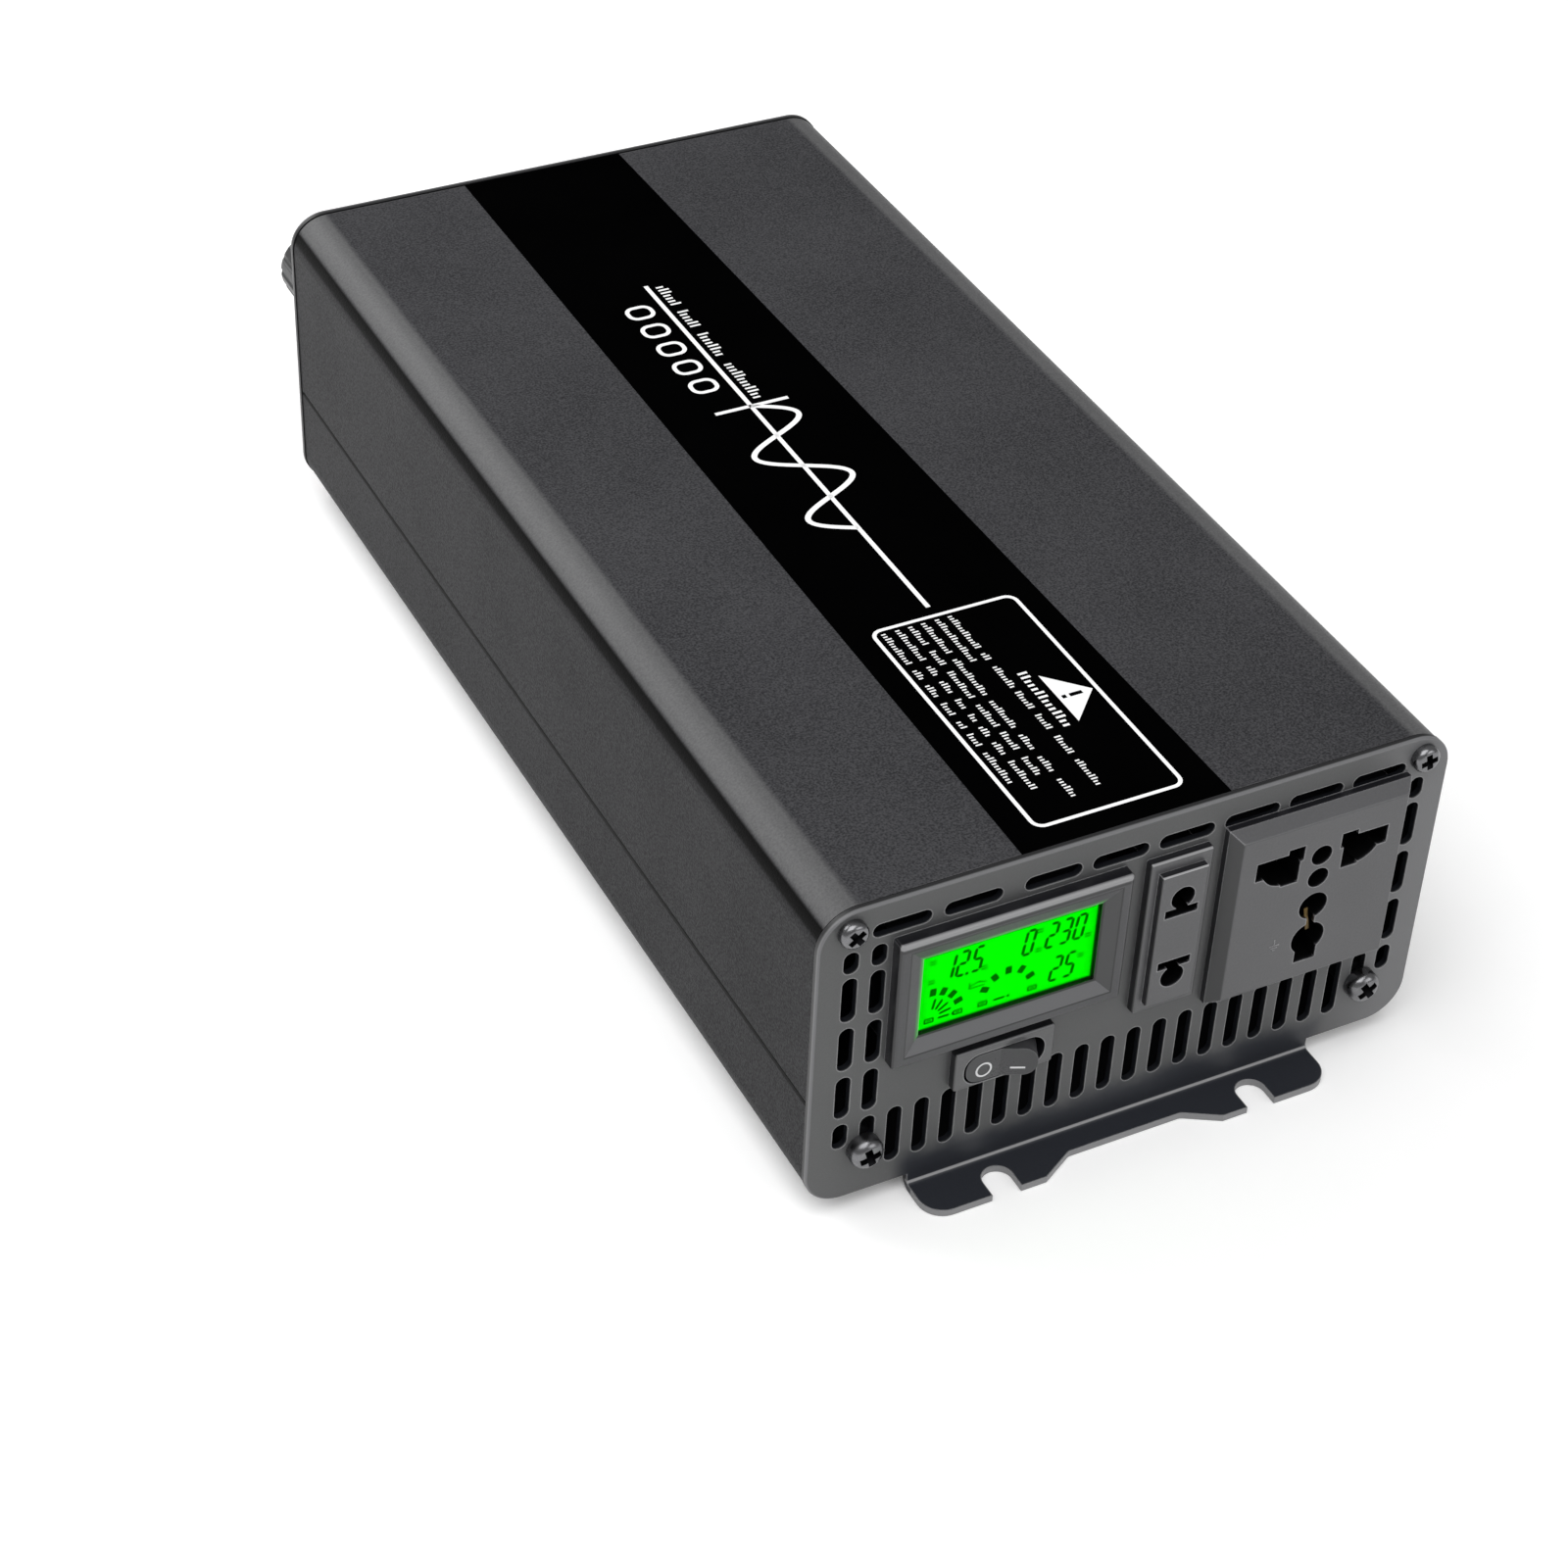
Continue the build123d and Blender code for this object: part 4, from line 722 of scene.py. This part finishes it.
lcd_light = Finish("lit liquid crystal", (0.0, 0.10, 0.0), 0.4)
lcd_light.fixed(Specular_IOR_Level=0.0)
lit_tree = lcd_light.tree
lx, _, lz = axes(lit_tree)
# Painted shade: the display is painted dimmer towards its borders.
shaded_border = most(
    lit_tree,
    ramp(lit_tree, away_from(lit_tree, lx, WINDOW_MIDDLE.x), 0.0150, 0.0185),
    ramp(lit_tree, away_from(lit_tree, lz, WINDOW_MIDDLE.z), 0.0070, 0.0093),
)
lcd_cells = lcd_light.use(moulded, Scale=2400.0, Contrast=0.3)
even = lcd_light.blend(lcd_cells["Tone"], (0.0, 0.92, 0.0), (0.0, 0.97, 0.0))
glow = lcd_light.blend(shaded_border, even, (0.0, 0.72, 0.0))
# Painted shade: the window's edge is painted as shade on the display along its right and lower
# sides.
edge_shade = most(
    lit_tree,
    ramp(lit_tree, lx, WINDOW_HIGH.x - 0.0006, WINDOW_HIGH.x - 0.0003),
    ramp(lit_tree, lz, WINDOW_LOW.z + 0.0006, WINDOW_LOW.z + 0.0003),
)
lcd_light.glow(lcd_light.blend(edge_shade, glow, (0.0, 0.05, 0.0)))
lcd_light.rough(lcd_cells["Tone"], 0.5, 0.35)

lcd = bmesh.new()
lcd_low, lcd_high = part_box("meter_display")
lcd_size = (lcd_high.x - lcd_low.x, lcd_high.y - LCD_FRONT, lcd_high.z - lcd_low.z)
lcd_middle = ((lcd_low.x + lcd_high.x) / 2, (LCD_FRONT + lcd_high.y) / 2, WINDOW_MIDDLE.z)
block(lcd, lcd_middle, lcd_size)
ease(lcd, lcd.edges[:], 0.12 * MM)
piece("lcd_panel", lcd, lcd_light, "inverter", ("meter_display",))

# Reading marks, placed in millimetres from the window's lower left corner.
SLANT = 0.16
BAR = 0.62


def lcd_bar(mesh, u, v, length, width, angle=0.0, pointed=False):
    """One flat mark of the display; angle in degrees from level."""
    spot = (
        WINDOW_LOW.x + u * MM, LCD_FRONT - LCD_LIFT / 2 - 0.002 * MM, WINDOW_LOW.z + v * MM
    )
    turn = Matrix.Rotation(math.radians(-angle), 4, "Y")
    corners = block(mesh, spot, (length * MM, LCD_LIFT, width * MM), turn)
    if pointed:
        ends = dict.fromkeys(
            edge for corner in corners for edge in corner.link_edges
            if abs((edge.verts[0].co - edge.verts[1].co).y) > LCD_LIFT * 0.9
        )
        ease(mesh, list(ends), width * MM * 0.42, segments=1)


LIT = {"0": "abcdef", "1": "bc", "2": "abged", "3": "abgcd", "5": "afgcd"}
LEVEL_BARS = {"a": (0.5, 1.0), "g": (0.5, 0.5), "d": (0.5, 0.0)}
UPRIGHT_BARS = {"b": (1.0, 0.75), "c": (1.0, 0.25), "f": (0.0, 0.75), "e": (0.0, 0.25)}
FOOT_ROW, TOP_ROW, TALL, WIDE = 2.2, 10.8, 5.5, 1.75


def lcd_digit(mesh, digit, left, foot):
    """Seven-bar figure leaning a little to the right."""
    lean = math.degrees(math.atan(SLANT))
    for mark in LIT[digit]:
        level = mark in LEVEL_BARS
        across, up = LEVEL_BARS[mark] if level else UPRIGHT_BARS[mark]
        u, v = left + across * WIDE + up * TALL * SLANT, foot + up * TALL
        if level:
            lcd_bar(mesh, u, v, WIDE - 0.3, BAR, pointed=True)
        else:
            lcd_bar(mesh, u, v, TALL / 2 - 0.25, BAR, 90 - lean, pointed=True)


marks = bmesh.new()
for digit, left in (
    ("1", 4.6), ("2", 7.3), ("5", 10.4), ("0", 20.9), ("2", 25.6), ("3", 28.5), ("0", 31.4)
):
    lcd_digit(marks, digit, left, TOP_ROW)
for digit, left in (("2", 27.2), ("5", 30.1)):
    lcd_digit(marks, digit, left, FOOT_ROW)
lcd_bar(marks, 9.6, TOP_ROW, 0.6, 0.6)

# Quarter dial at the left and half dial in the middle: blocks and rays.
RAY_AT = 3.2
for hub, radius, angles, ray_angles in (
    ((2.6, 2.6), 6.1, (87, 66, 44, 21), (78, 57, 35, 12)),
    ((18.4, 3.1), 5.2, (155, 122, 90, 58, 25), ()),
):
    for reach_out, size, around, pointed in (
        (radius, (1.75, 1.3), angles, False), (RAY_AT, (2.5, 0.5), ray_angles, True)
    ):
        for angle in around:
            turn = math.radians(angle)
            u, v = hub[0] + reach_out * math.cos(turn), hub[1] + reach_out * math.sin(turn)
            lcd_bar(marks, u, v, *size, angle, pointed)
# Small boxes stand at the ends of the dials, with pointers between them.
for u in (2.5, 8.4, 13.5, 23.8):
    for side in (-0.45, 0.45):
        lcd_bar(marks, u, 2.0 + side, 1.9, 0.3)
        lcd_bar(marks, u + 1.9 * side, 2.0, 0.9, 0.32, 90)
    lcd_bar(marks, u, 2.0, 0.8, 0.25)
for u in (5.5, 16.9):
    lcd_bar(marks, u, 2.0, 2.4, 0.45, pointed=True)
    lcd_bar(marks, u + 1.9, 2.0, 0.5, 0.5)
# Short dashes stand where the units would be.
for u, v in (
    (2.4, 15.9), (2.4, 11.3), (13.2, 10.9), (24.3, 15.6), (24.3, 11.0), (34.6, 10.9), (33.5, 6.4)
):
    for row in (-0.32, 0.32):
        lcd_bar(marks, u, v + row, 1.3, 0.24)
for u, v, length, angle in (
    (10.4, 7.4, 1.6, 90), (11.6, 7.6, 2.2, 18), (13.2, 7.5, 1.6, -14), (12.0, 6.7, 3.2, 0)
):
    lcd_bar(marks, u, v, length, 0.2, angle)
# Edge of the crystal, seen as a thin line inside the window.
lcd_bar(marks, 18.25, 17.55, 35.0, 0.22)

lcd_ink = Finish("dark crystal", (0.0, 0.035, 0.0), 0.5)
lcd_ink.fixed(Specular_IOR_Level=0.0)
ink_cells = lcd_ink.use(moulded, Scale=2400.0)
lcd_ink.glow(lcd_ink.blend(ink_cells["Tone"], (0.0, 0.07, 0.0), (0.0, 0.12, 0.0)))
piece("lcd_marks", marks, lcd_ink, "inverter")

# ---- Rocker switch
# Snap-in switch: a satin frame round a black rocker that tips on a steel pin. The rocker is
# printed with a ring on its off end and a bar on its on end.

satin_plastic = front_plastic(
    "satin grey plastic", grey(0.058, 0.060), grey(0.094, 0.097), grey(0.13, 0.135)
)
satin_plastic.onto("switch_frame")
rocker_plastic = moulding(
    "rocker plastic", grey(0.025, 0.027), grey(0.041, 0.044), 0.26, 0.38,
    rubbed=grey(0.11, 0.115),
)
rocker_plastic.onto("switch_rocker")

pad_ink = moulding(
    "pad-printed white", grey(0.42, 0.43), grey(0.74, 0.75), 0.42, 0.6,
    scale=2600.0, skin_depth=None,
)


def turned(mesh, outline, place, segments=48):
    """Spins (radius, height) points into a solid of revolution and puts it in place."""
    points = [mesh.verts.new((radius, 0.0, height)) for radius, height in outline]
    edges = [mesh.edges.new(pair) for pair in zip(points, points[1:])]
    before = set(mesh.verts) - set(points)
    bmesh.ops.spin(
        mesh, geom=points + edges, cent=(0, 0, 0), axis=(0, 0, 1),
        angle=math.tau, steps=segments, use_merge=True,
    )
    fresh = [v for v in mesh.verts if v not in before]
    bmesh.ops.remove_doubles(mesh, verts=fresh, dist=1e-7)
    fresh = [v for v in mesh.verts if v not in before]
    bmesh.ops.transform(mesh, matrix=place, verts=fresh)
    bmesh.ops.recalc_face_normals(mesh, faces=faces_round(fresh))


FACING_FRONT = Matrix.Rotation(math.radians(90), 4, "X")
ROCKER_AXIS = next(Vector(j["pos_m"]) for j in frame["joints"] if j["name"] == "rocker_press")
INK = 0.03 * MM
RING_BORE, RING_RADIUS = 1.32 * MM, 1.72 * MM
BAR_SIZE = (2.8 * MM, 2 * INK, 0.42 * MM)
# The on end stands out at twice the rocker's lean: it starts ON_START beside the pin and
# ON_PROUD before it, and runs on by ON_RUN while it rises by ON_RISE.
ON_START, ON_PROUD, ON_RUN, ON_RISE = -0.957, 4.5, 6.434, 2.865
BAR_PART_WAY = 0.48
rocker_low, rocker_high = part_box("switch_rocker")
ring_at = Vector((
    ROCKER_AXIS.x - 4.3 * MM,
    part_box("switch_frame")[0].y,
    (rocker_low.z + rocker_high.z) / 2 - 0.65 * MM,
))
ring = [
    (RING_BORE, 0.0), (RING_RADIUS, 0.0), (RING_RADIUS, INK), (RING_BORE, INK), (RING_BORE, 0.0)
]
bar_at = ROCKER_AXIS + MM * Vector((
    ON_START + ON_RUN * BAR_PART_WAY, -(ON_PROUD + ON_RISE * BAR_PART_WAY), -1.45
))
rocker_marks = bmesh.new()
turned(rocker_marks, ring, Matrix.Translation(ring_at) @ FACING_FRONT)
block(rocker_marks, bar_at, BAR_SIZE, Matrix.Rotation(-math.atan2(ON_RISE, ON_RUN), 4, "Z"))
piece("rocker_marks", rocker_marks, pad_ink, "rocker")

# ---- Two-pin outlet
# Narrow outlet clipped through the panel: a satin surround with a separate insert whose two
# sockets take round or flat pins on brass springs.


def front_middle(node):
    """Middle of a part's front side."""
    low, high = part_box(node)
    return Vector(((low.x + high.x) / 2, low.y, (low.z + high.z) / 2))


surround = front_plastic(
    "surround plastic", grey(0.053, 0.056), grey(0.085, 0.089), grey(0.24, 0.245)
)
surround.onto("twin_outlet_frame")
insert_plastic = front_plastic(
    "insert plastic", grey(0.053, 0.056), grey(0.088, 0.092), grey(0.30, 0.305),
    openings=(front_middle("twin_outlet_insert"), 0.0042, 0.0135),
)
insert_plastic.onto("twin_outlet_insert")

# ---- Universal outlet
# Large moulded outlet with sloping margins and stepped openings over brass springs, and the
# housing that holds the springs behind it.

outlet_middle = front_middle("outlet_face")
outlet_plastic = front_plastic(
    "outlet plastic", grey(0.053, 0.056), grey(0.085, 0.089), None,
    openings=(outlet_middle, 0.016, 0.017),
)
outlet_plastic.onto("outlet_face")
holder.onto("outlet_housing")

# Raised earth symbol beside the lower opening.
EARTH_MARK_AT = outlet_middle + MM * Vector((-7.6, -0.02, -9.0))
THIN, EARTH_RAISED = 0.3, 0.12
earth_mark = bmesh.new()
for rise, length, height in (
    (0.75, THIN, 1.5), (0.0, 2.3, THIN), (-0.55, 1.5, THIN), (-1.1, 0.7, THIN)
):
    spot = EARTH_MARK_AT + Vector((0.0, 0.0, rise * MM))
    block(earth_mark, spot, (length * MM, EARTH_RAISED * MM, height * MM))
ease(earth_mark, earth_mark.edges[:], 0.03 * MM, segments=1)
piece("earth_mark", earth_mark, outlet_plastic, "inverter")

# Tip of the earth spring, seen through the neck between the two round openings.
TIP_AT = outlet_middle + MM * Vector((0.0, 1.4, -5.9))
TIP_SIZE = (0.9 * MM, 0.4 * MM, 5.8 * MM)
dull_brass = metal("tarnished brass", (0.060, 0.038, 0.012), (0.17, 0.115, 0.045), 0.3, 0.5)
earth_tip = bmesh.new()
block(earth_tip, TIP_AT, TIP_SIZE, Matrix.Rotation(math.radians(-12), 4, "Y"))
ease(earth_tip, earth_tip.edges[:], 0.1 * MM)
piece("earth_spring_tip", earth_tip, dull_brass, "inverter")

# ---- Case screws
# Plated pan-head screws with pressed cross recesses, two high and two low in each end panel,
# and four more that hold the fan and its guard.

screw_plate = metal(
    "screw plate", grey(0.10, 0.105), grey(0.26, 0.27), 0.20, 0.36, scale=700.0, strength=0.12
)
# Painted shade: the cross recesses are painted near black.
recess_shade = metal(
    "recess shade", grey(0.004, 0.005), grey(0.020, 0.022), 0.45, 0.65, scale=700.0
)
SCREW_LENGTH = 14.0 * MM


def screw_stock(name, mesh):
    """Loose object that a screw is cut from: plated outside, painted dark in the recess as painted
    shade.
    """
    data = bpy.data.meshes.new(name)
    mesh.to_mesh(data)
    mesh.free()
    data.materials.append(screw_plate.material)
    data.materials.append(recess_shade.material)
    return hang(name, data)


def cross_head_screws(name, node, spots, head_r, head_h, shank_r, recess):
    """Pan-head screws at spots of (seat position, way along Y that the head faces, turn)."""
    rim = head_h * 0.55
    outline = [(0.0, head_h)]
    for step in range(0, 91, 15):
        angle = math.radians(step)
        outline.append((head_r - rim + rim * math.sin(angle), head_h - rim + rim * math.cos(angle)))
    outline += [
        (head_r, 0.0), (shank_r, 0.0), (shank_r, -SCREW_LENGTH + shank_r), (0.0, -SCREW_LENGTH)
    ]
    head = bmesh.new()
    turned(head, outline, Matrix.Identity(4))
    stock = screw_stock(name + "_head", head)
    deep = head_h * 0.62
    cutters = []
    for quarter in (0, 90):
        arm = bmesh.new()
        arm_size = (recess, recess * 0.34, deep + 0.4 * MM)
        arm_verts = block(arm, (0, 0, head_h - deep / 2 + 0.2 * MM), arm_size)
        for v in arm_verts:
            if v.co.z < head_h - deep * 0.5:
                v.co.x *= 0.62
                v.co.y *= 0.8
        for side in arm.faces:
            side.material_index = 1
        across = Matrix.Rotation(math.radians(quarter), 3, "Z")
        bmesh.ops.rotate(arm, verts=arm_verts, cent=(0, 0, 0), matrix=across)
        cutters.append(screw_stock(name + "_arm", arm))
        cut = stock.modifiers.new("recess", "BOOLEAN")
        cut.operation = "DIFFERENCE"
        cut.solver = "EXACT"
        cut.object = cutters[-1]
    graph = bpy.context.evaluated_depsgraph_get()
    pressed = bpy.data.meshes.new_from_object(stock.evaluated_get(graph))
    for spare in (stock, *cutters):
        bpy.data.objects.remove(spare)
    row = bmesh.new()
    for seat, way, turn in spots:
        outwards = Matrix.Rotation(math.radians(-90 * way), 4, "X")
        copy = pressed.copy()
        copy.transform(
            Matrix.Translation(seat) @ outwards @ Matrix.Rotation(math.radians(turn), 4, "Z")
        )
        row.from_mesh(copy)
        bpy.data.meshes.remove(copy)
    made = piece(name, row, screw_plate, "inverter", (node,))
    made.data.materials.append(recess_shade.material)


def panel_screw_spots(node, head_r, front_turns, rear_turns):
    """Seats of a pair of screws in the front panel and a pair in the rear one."""
    low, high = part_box(node)
    beside, height = high.x - head_r, (low.z + high.z) / 2
    return [
        (Vector((side * beside, face, height)), way, turn)
        for face, way, turns in ((FRONT_FACE, -1, front_turns), (REAR_FACE, 1, rear_turns))
        for side, turn in zip((-1, 1), turns)
    ]


COVER_HEAD, TRAY_HEAD, FAN_HEAD = 2.8 * MM, 3.4 * MM, 3.5 * MM
cross_head_screws(
    "cover_screws", "case_screws_top",
    panel_screw_spots("case_screws_top", COVER_HEAD, (38, 12), (25, 70)),
    head_r=COVER_HEAD, head_h=2.2 * MM, shank_r=1.45 * MM, recess=3.9 * MM,
)
cross_head_screws(
    "tray_screws", "case_screws_bottom",
    panel_screw_spots("case_screws_bottom", TRAY_HEAD, (15, 33), (50, 5)),
    head_r=TRAY_HEAD, head_h=3.5 * MM, shank_r=1.45 * MM, recess=4.6 * MM,
)
fan_low, fan_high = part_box("fan_screws")
fan_x = (fan_low.x + FAN_HEAD, fan_high.x - FAN_HEAD)
fan_z = (fan_low.z + FAN_HEAD, fan_high.z - FAN_HEAD)
cross_head_screws(
    "guard_screws", "fan_screws",
    [
        (Vector((fan_x[right], REAR_FACE + 1.5 * MM, fan_z[up])), 1, turn)
        for right, up, turn in ((0, 0, 20), (1, 0, 64), (0, 1, 41), (1, 1, 8))
    ],
    head_r=FAN_HEAD, head_h=2.4 * MM, shank_r=2.1 * MM, recess=4.2 * MM,
)

# ---- Label strip
# Black printed film laid along the cover, a little wider at the front. Its art is a sine wave
# on its axis, rows of plain strokes, a row of ovals, and a framed notice with a triangle.

strip_film = Finish("printed film", grey(0.0006), 0.5)
strip_film.fixed(Specular_IOR_Level=0.0)
film_skin = strip_film.use(moulded, Scale=1500.0)
film_black = strip_film.blend(film_skin["Tone"], grey(0.0002), grey(0.0012, 0.0013))
strip_film.colour(film_black)
strip_film.rough(film_skin["Tone"], 0.55, 0.42)
strip_film.bump(film_skin["Height"], 0.15, 0.00002)

strip_low, strip_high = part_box("top_label_strip")
FILM_TOP = strip_high.z - 0.04 * MM
REAR_LEFT, REAR_RIGHT = -24.4 * MM, 13.9 * MM
film_middle = (strip_low + strip_high) / 2
film_middle.z = (strip_low.z + FILM_TOP) / 2
film_size = (strip_high.x - strip_low.x, strip_high.y - strip_low.y, FILM_TOP - strip_low.z)
film = bmesh.new()
for v in block(film, film_middle, film_size):
    if v.co.y > 0:
        v.co.x = REAR_LEFT if v.co.x < film_middle.x else REAR_RIGHT
ease(film, [e for e in film.edges if all(v.co.z > film_middle.z for v in e.verts)], 0.06 * MM)
piece("label_film", film, strip_film, "inverter", ("top_label_strip",))

screen_ink = moulding(
    "screen-printed white", grey(0.78), grey(0.92), 0.5, 0.65,
    scale=2000.0, skin_depth=None,
)

INK_LOW, INK_TOP = FILM_TOP - 0.01 * MM, FILM_TOP + 0.02 * MM
INK_H = INK_TOP - INK_LOW


def thicken(mesh, faces, rise):
    """Pulls flat print up or down into a solid."""
    pulled = bmesh.ops.extrude_face_region(mesh, geom=faces)["geom"]
    corners = [part for part in pulled if isinstance(part, bmesh.types.BMVert)]
    bmesh.ops.translate(mesh, verts=corners, vec=(0, 0, rise))
    bmesh.ops.recalc_face_normals(mesh, faces=mesh.faces[:])


def ink_bar(mesh, x0, back0, x1, back1, width, lift=0.0):
    """Stroke from one spot to another, in millimetres across and behind the front panel."""
    start = Vector((x0 * MM, FRONT_FACE + back0 * MM, (INK_LOW + INK_TOP) / 2 + lift))
    end = Vector((x1 * MM, FRONT_FACE + back1 * MM, start.z))
    angle = math.atan2(end.y - start.y, end.x - start.x)
    size = ((end - start).length, width * MM, INK_H)
    block(mesh, (start + end) / 2, size, Matrix.Rotation(angle, 4, "Z"))


def ink_outline(mesh, x, back, wide, long, corner, width):
    """Rounded outline, wide across the case and long along it."""
    middle = Vector((x * MM, FRONT_FACE + back * MM, INK_LOW))
    place = Matrix.Translation(middle) @ Matrix.Diagonal((wide * MM, long * MM, 1.0, 1.0))
    made = bmesh.new()
    bmesh.ops.create_grid(made, x_segments=1, y_segments=1, size=0.5, matrix=place)
    bmesh.ops.bevel(
        made, geom=made.verts[:], offset=corner * MM, affect="VERTICES",
        segments=6, profile=0.5, material=-1,
    )
    inner = bmesh.ops.inset_region(
        made, faces=made.faces[:], thickness=width * MM, use_even_offset=True, use_boundary=True
    )
    hollow = [f for f in made.faces if f not in set(inner["faces"])]
    bmesh.ops.delete(made, geom=hollow, context="FACES_ONLY")
    thicken(made, made.faces[:], INK_H)
    data = bpy.data.meshes.new("outline")
    made.to_mesh(data)
    made.free()
    mesh.from_mesh(data)
    bpy.data.meshes.remove(data)


def strokes_row(mesh, x, words, tall, pitch, width):
    """Row of upright strokes grouped like words, running towards the front panel."""
    for start, end in words:
        for k in range(int((start - end) / pitch)):
            back = start - (k + 0.5) * pitch
            rise = tall * (1.0 if (k * 7 + int(start)) % 5 in (0, 3) else 0.68)
            ink_bar(mesh, x - tall / 2, back, x - tall / 2 + rise, back, width)


AXIS_X, AXIS_WIDTH = -5.3, 1.0
WAVE_START, WAVE_END, WAVE_PERIOD, WAVE_HEIGHT, WAVE_WIDTH = 150.0, 102.0, 24.0, 7.9, 1.2
art = bmesh.new()
ink_bar(art, AXIS_X, 202, AXIS_X, 73, AXIS_WIDTH)
ink_bar(art, -13.5, WAVE_START, 3.3, WAVE_START, AXIS_WIDTH)

# Two periods of the wave: a grid laid along it, its width kept square to the curve.
wave = bmesh.ops.create_grid(art, x_segments=96, y_segments=1, size=0.5)["verts"]
for v in wave:
    back = WAVE_START + (WAVE_END - WAVE_START) * (v.co.x + 0.5)
    phase = math.tau * (WAVE_START - back) / WAVE_PERIOD
    slope = -WAVE_HEIGHT * math.cos(phase) * math.tau / WAVE_PERIOD
    size = math.hypot(1.0, slope)
    side = v.co.y * WAVE_WIDTH
    v.co = (
        (AXIS_X + WAVE_HEIGHT * math.sin(phase) + side / size) * MM,
        FRONT_FACE + (back - side * slope / size) * MM,
        INK_TOP,
    )
thicken(art, faces_round(wave), -INK_H)

# Five ovals, the frame of the notice, and rows of (distance across, spans of its words).
OVAL_X, OVAL_START, OVAL_PITCH = -11.0, 192.4, 7.9
for k in range(5):
    ink_outline(art, OVAL_X, OVAL_START - OVAL_PITCH * k, 6.4, 5.4, corner=2.3, width=0.95)
ink_outline(art, -3.95, 38.5, 31.7, 64.0, corner=2.5, width=0.8)
strokes_row(art, -2.3, ((201, 192), (190, 182), (180, 169), (167, 152)), 2.5, 1.25, 0.55)
strokes_row(art, 0.8, ((48, 29),), 2.0, 1.3, 0.6)
for x, words in (
    (-2.8, ((69, 57), (56, 53), (51.5, 44), (43, 37), (35.5, 30), (28.5, 22), (21, 12))),
    (-5.6, ((69, 54),)),
    (-8.6, ((69, 58), (56.5, 44), (42.5, 33), (31.5, 26), (24.5, 19), (17.5, 11))),
    (-11.4, ((69, 62), (60.5, 55), (53.5, 44), (42.5, 35), (33.5, 27), (25.5, 19))),
    (-14.2, (
        (69, 58), (56.5, 53), (51.5, 47), (45.5, 42), (40.5, 38), (36.5, 33), (31.5, 27), (25.5, 16)
    )),
    (-17.2, ((69, 58), (56.5, 53), (51.5, 47), (45.5, 41), (39.5, 37), (35.5, 31), (29.5, 19))),
):
    strokes_row(art, x, words, 1.35, 0.82, 0.36)
TRIANGLE = ((10.6, 38.0), (3.2, 45.5), (3.2, 30.5))
corners = [art.verts.new((x * MM, FRONT_FACE + back * MM, INK_TOP)) for x, back in TRIANGLE]
thicken(art, [art.faces.new(corners)], -INK_H)
piece("label_art", art, screen_ink, "inverter")

PICTOGRAM_LIFT = 0.012 * MM
pictogram = bmesh.new()
for x0, x1 in ((8.3, 5.6), (4.9, 4.0)):
    ink_bar(pictogram, x0, 38, x1, 38, 0.95, lift=PICTOGRAM_LIFT)
piece("label_pictogram", pictogram, strip_film, "inverter")

# ---- Floor, lights and camera
# Pale matt sheet that the inverter stands on, lit by large soft panels.

floor_finish = Finish("pale sheet", grey(0.86), 0.7)
floor_fibre = floor_finish.use(moulded, Scale=500.0)
paper = floor_finish.blend(floor_fibre["Tone"], grey(0.93), grey(0.98))
floor_finish.colour(paper)
floor_finish.fixed(
    Specular_IOR_Level=0.2, Emission_Color=(1.0, 1.0, 1.0, 1.0), Emission_Strength=0.10
)
under_feet = Matrix.Translation((0, 0, -0.0001))
sheet = bmesh.new()
bmesh.ops.create_grid(sheet, x_segments=8, y_segments=8, size=4.0, matrix=under_feet)
sheet_data = bpy.data.meshes.new("floor")
sheet.to_mesh(sheet_data)
sheet.free()
sheet_data.materials.append(floor_finish.material)
hang("floor", sheet_data)


def soft_panel(name, place, target, size, power):
    """Rectangular soft light aimed at a point."""
    lamp = bpy.data.lights.new(name, "AREA")
    lamp.shape = "RECTANGLE"
    lamp.size, lamp.size_y = size
    lamp.energy = power
    hung = hang(name, lamp)
    hung.location = place
    hung.rotation_mode = "QUATERNION"
    hung.rotation_quaternion = (Vector(target) - Vector(place)).to_track_quat("-Z", "Y")


soft_panel("top_panel", (-0.45, -0.5, 1.5), (0, 0, 0), (1.5, 1.5), 20.0)
soft_panel("front_panel_light", (0.7, -1.2, 0.7), (0, -0.1, 0.03), (0.9, 0.7), 4.0)
soft_panel("edge_panel", (-0.40, 0.55, 0.54), (-0.062, 0.0, 0.07), (0.75, 0.5), 4.0)

world = bpy.data.worlds.new("studio")
world.use_nodes = True
sky = world.node_tree.nodes["Background"]
sky.inputs["Color"].default_value = (1.0, 1.0, 1.0, 1.0)
sky.inputs["Strength"].default_value = 0.35
bpy.context.scene.world = world
bpy.context.scene.view_settings.view_transform = "Standard"

CAMERA_AT = Vector((-0.28055, -0.51970, 0.45899))
CAMERA_LOOKS = Vector((0.36954, 0.68282, -0.63024))
CAMERA_ROLL = 2.787
LENS_MM, SENSOR_MM = 78.3, 36.0
camera_data = bpy.data.cameras.new("camera")
camera_data.lens = LENS_MM
camera_data.sensor_width = SENSOR_MM
camera = hang("camera", camera_data)
aim = CAMERA_LOOKS.to_track_quat("-Z", "Y").to_matrix().to_4x4()
roll = Matrix.Rotation(math.radians(CAMERA_ROLL), 4, "Z")
camera.matrix_world = Matrix.Translation(CAMERA_AT) @ aim @ roll
bpy.context.scene.camera = camera
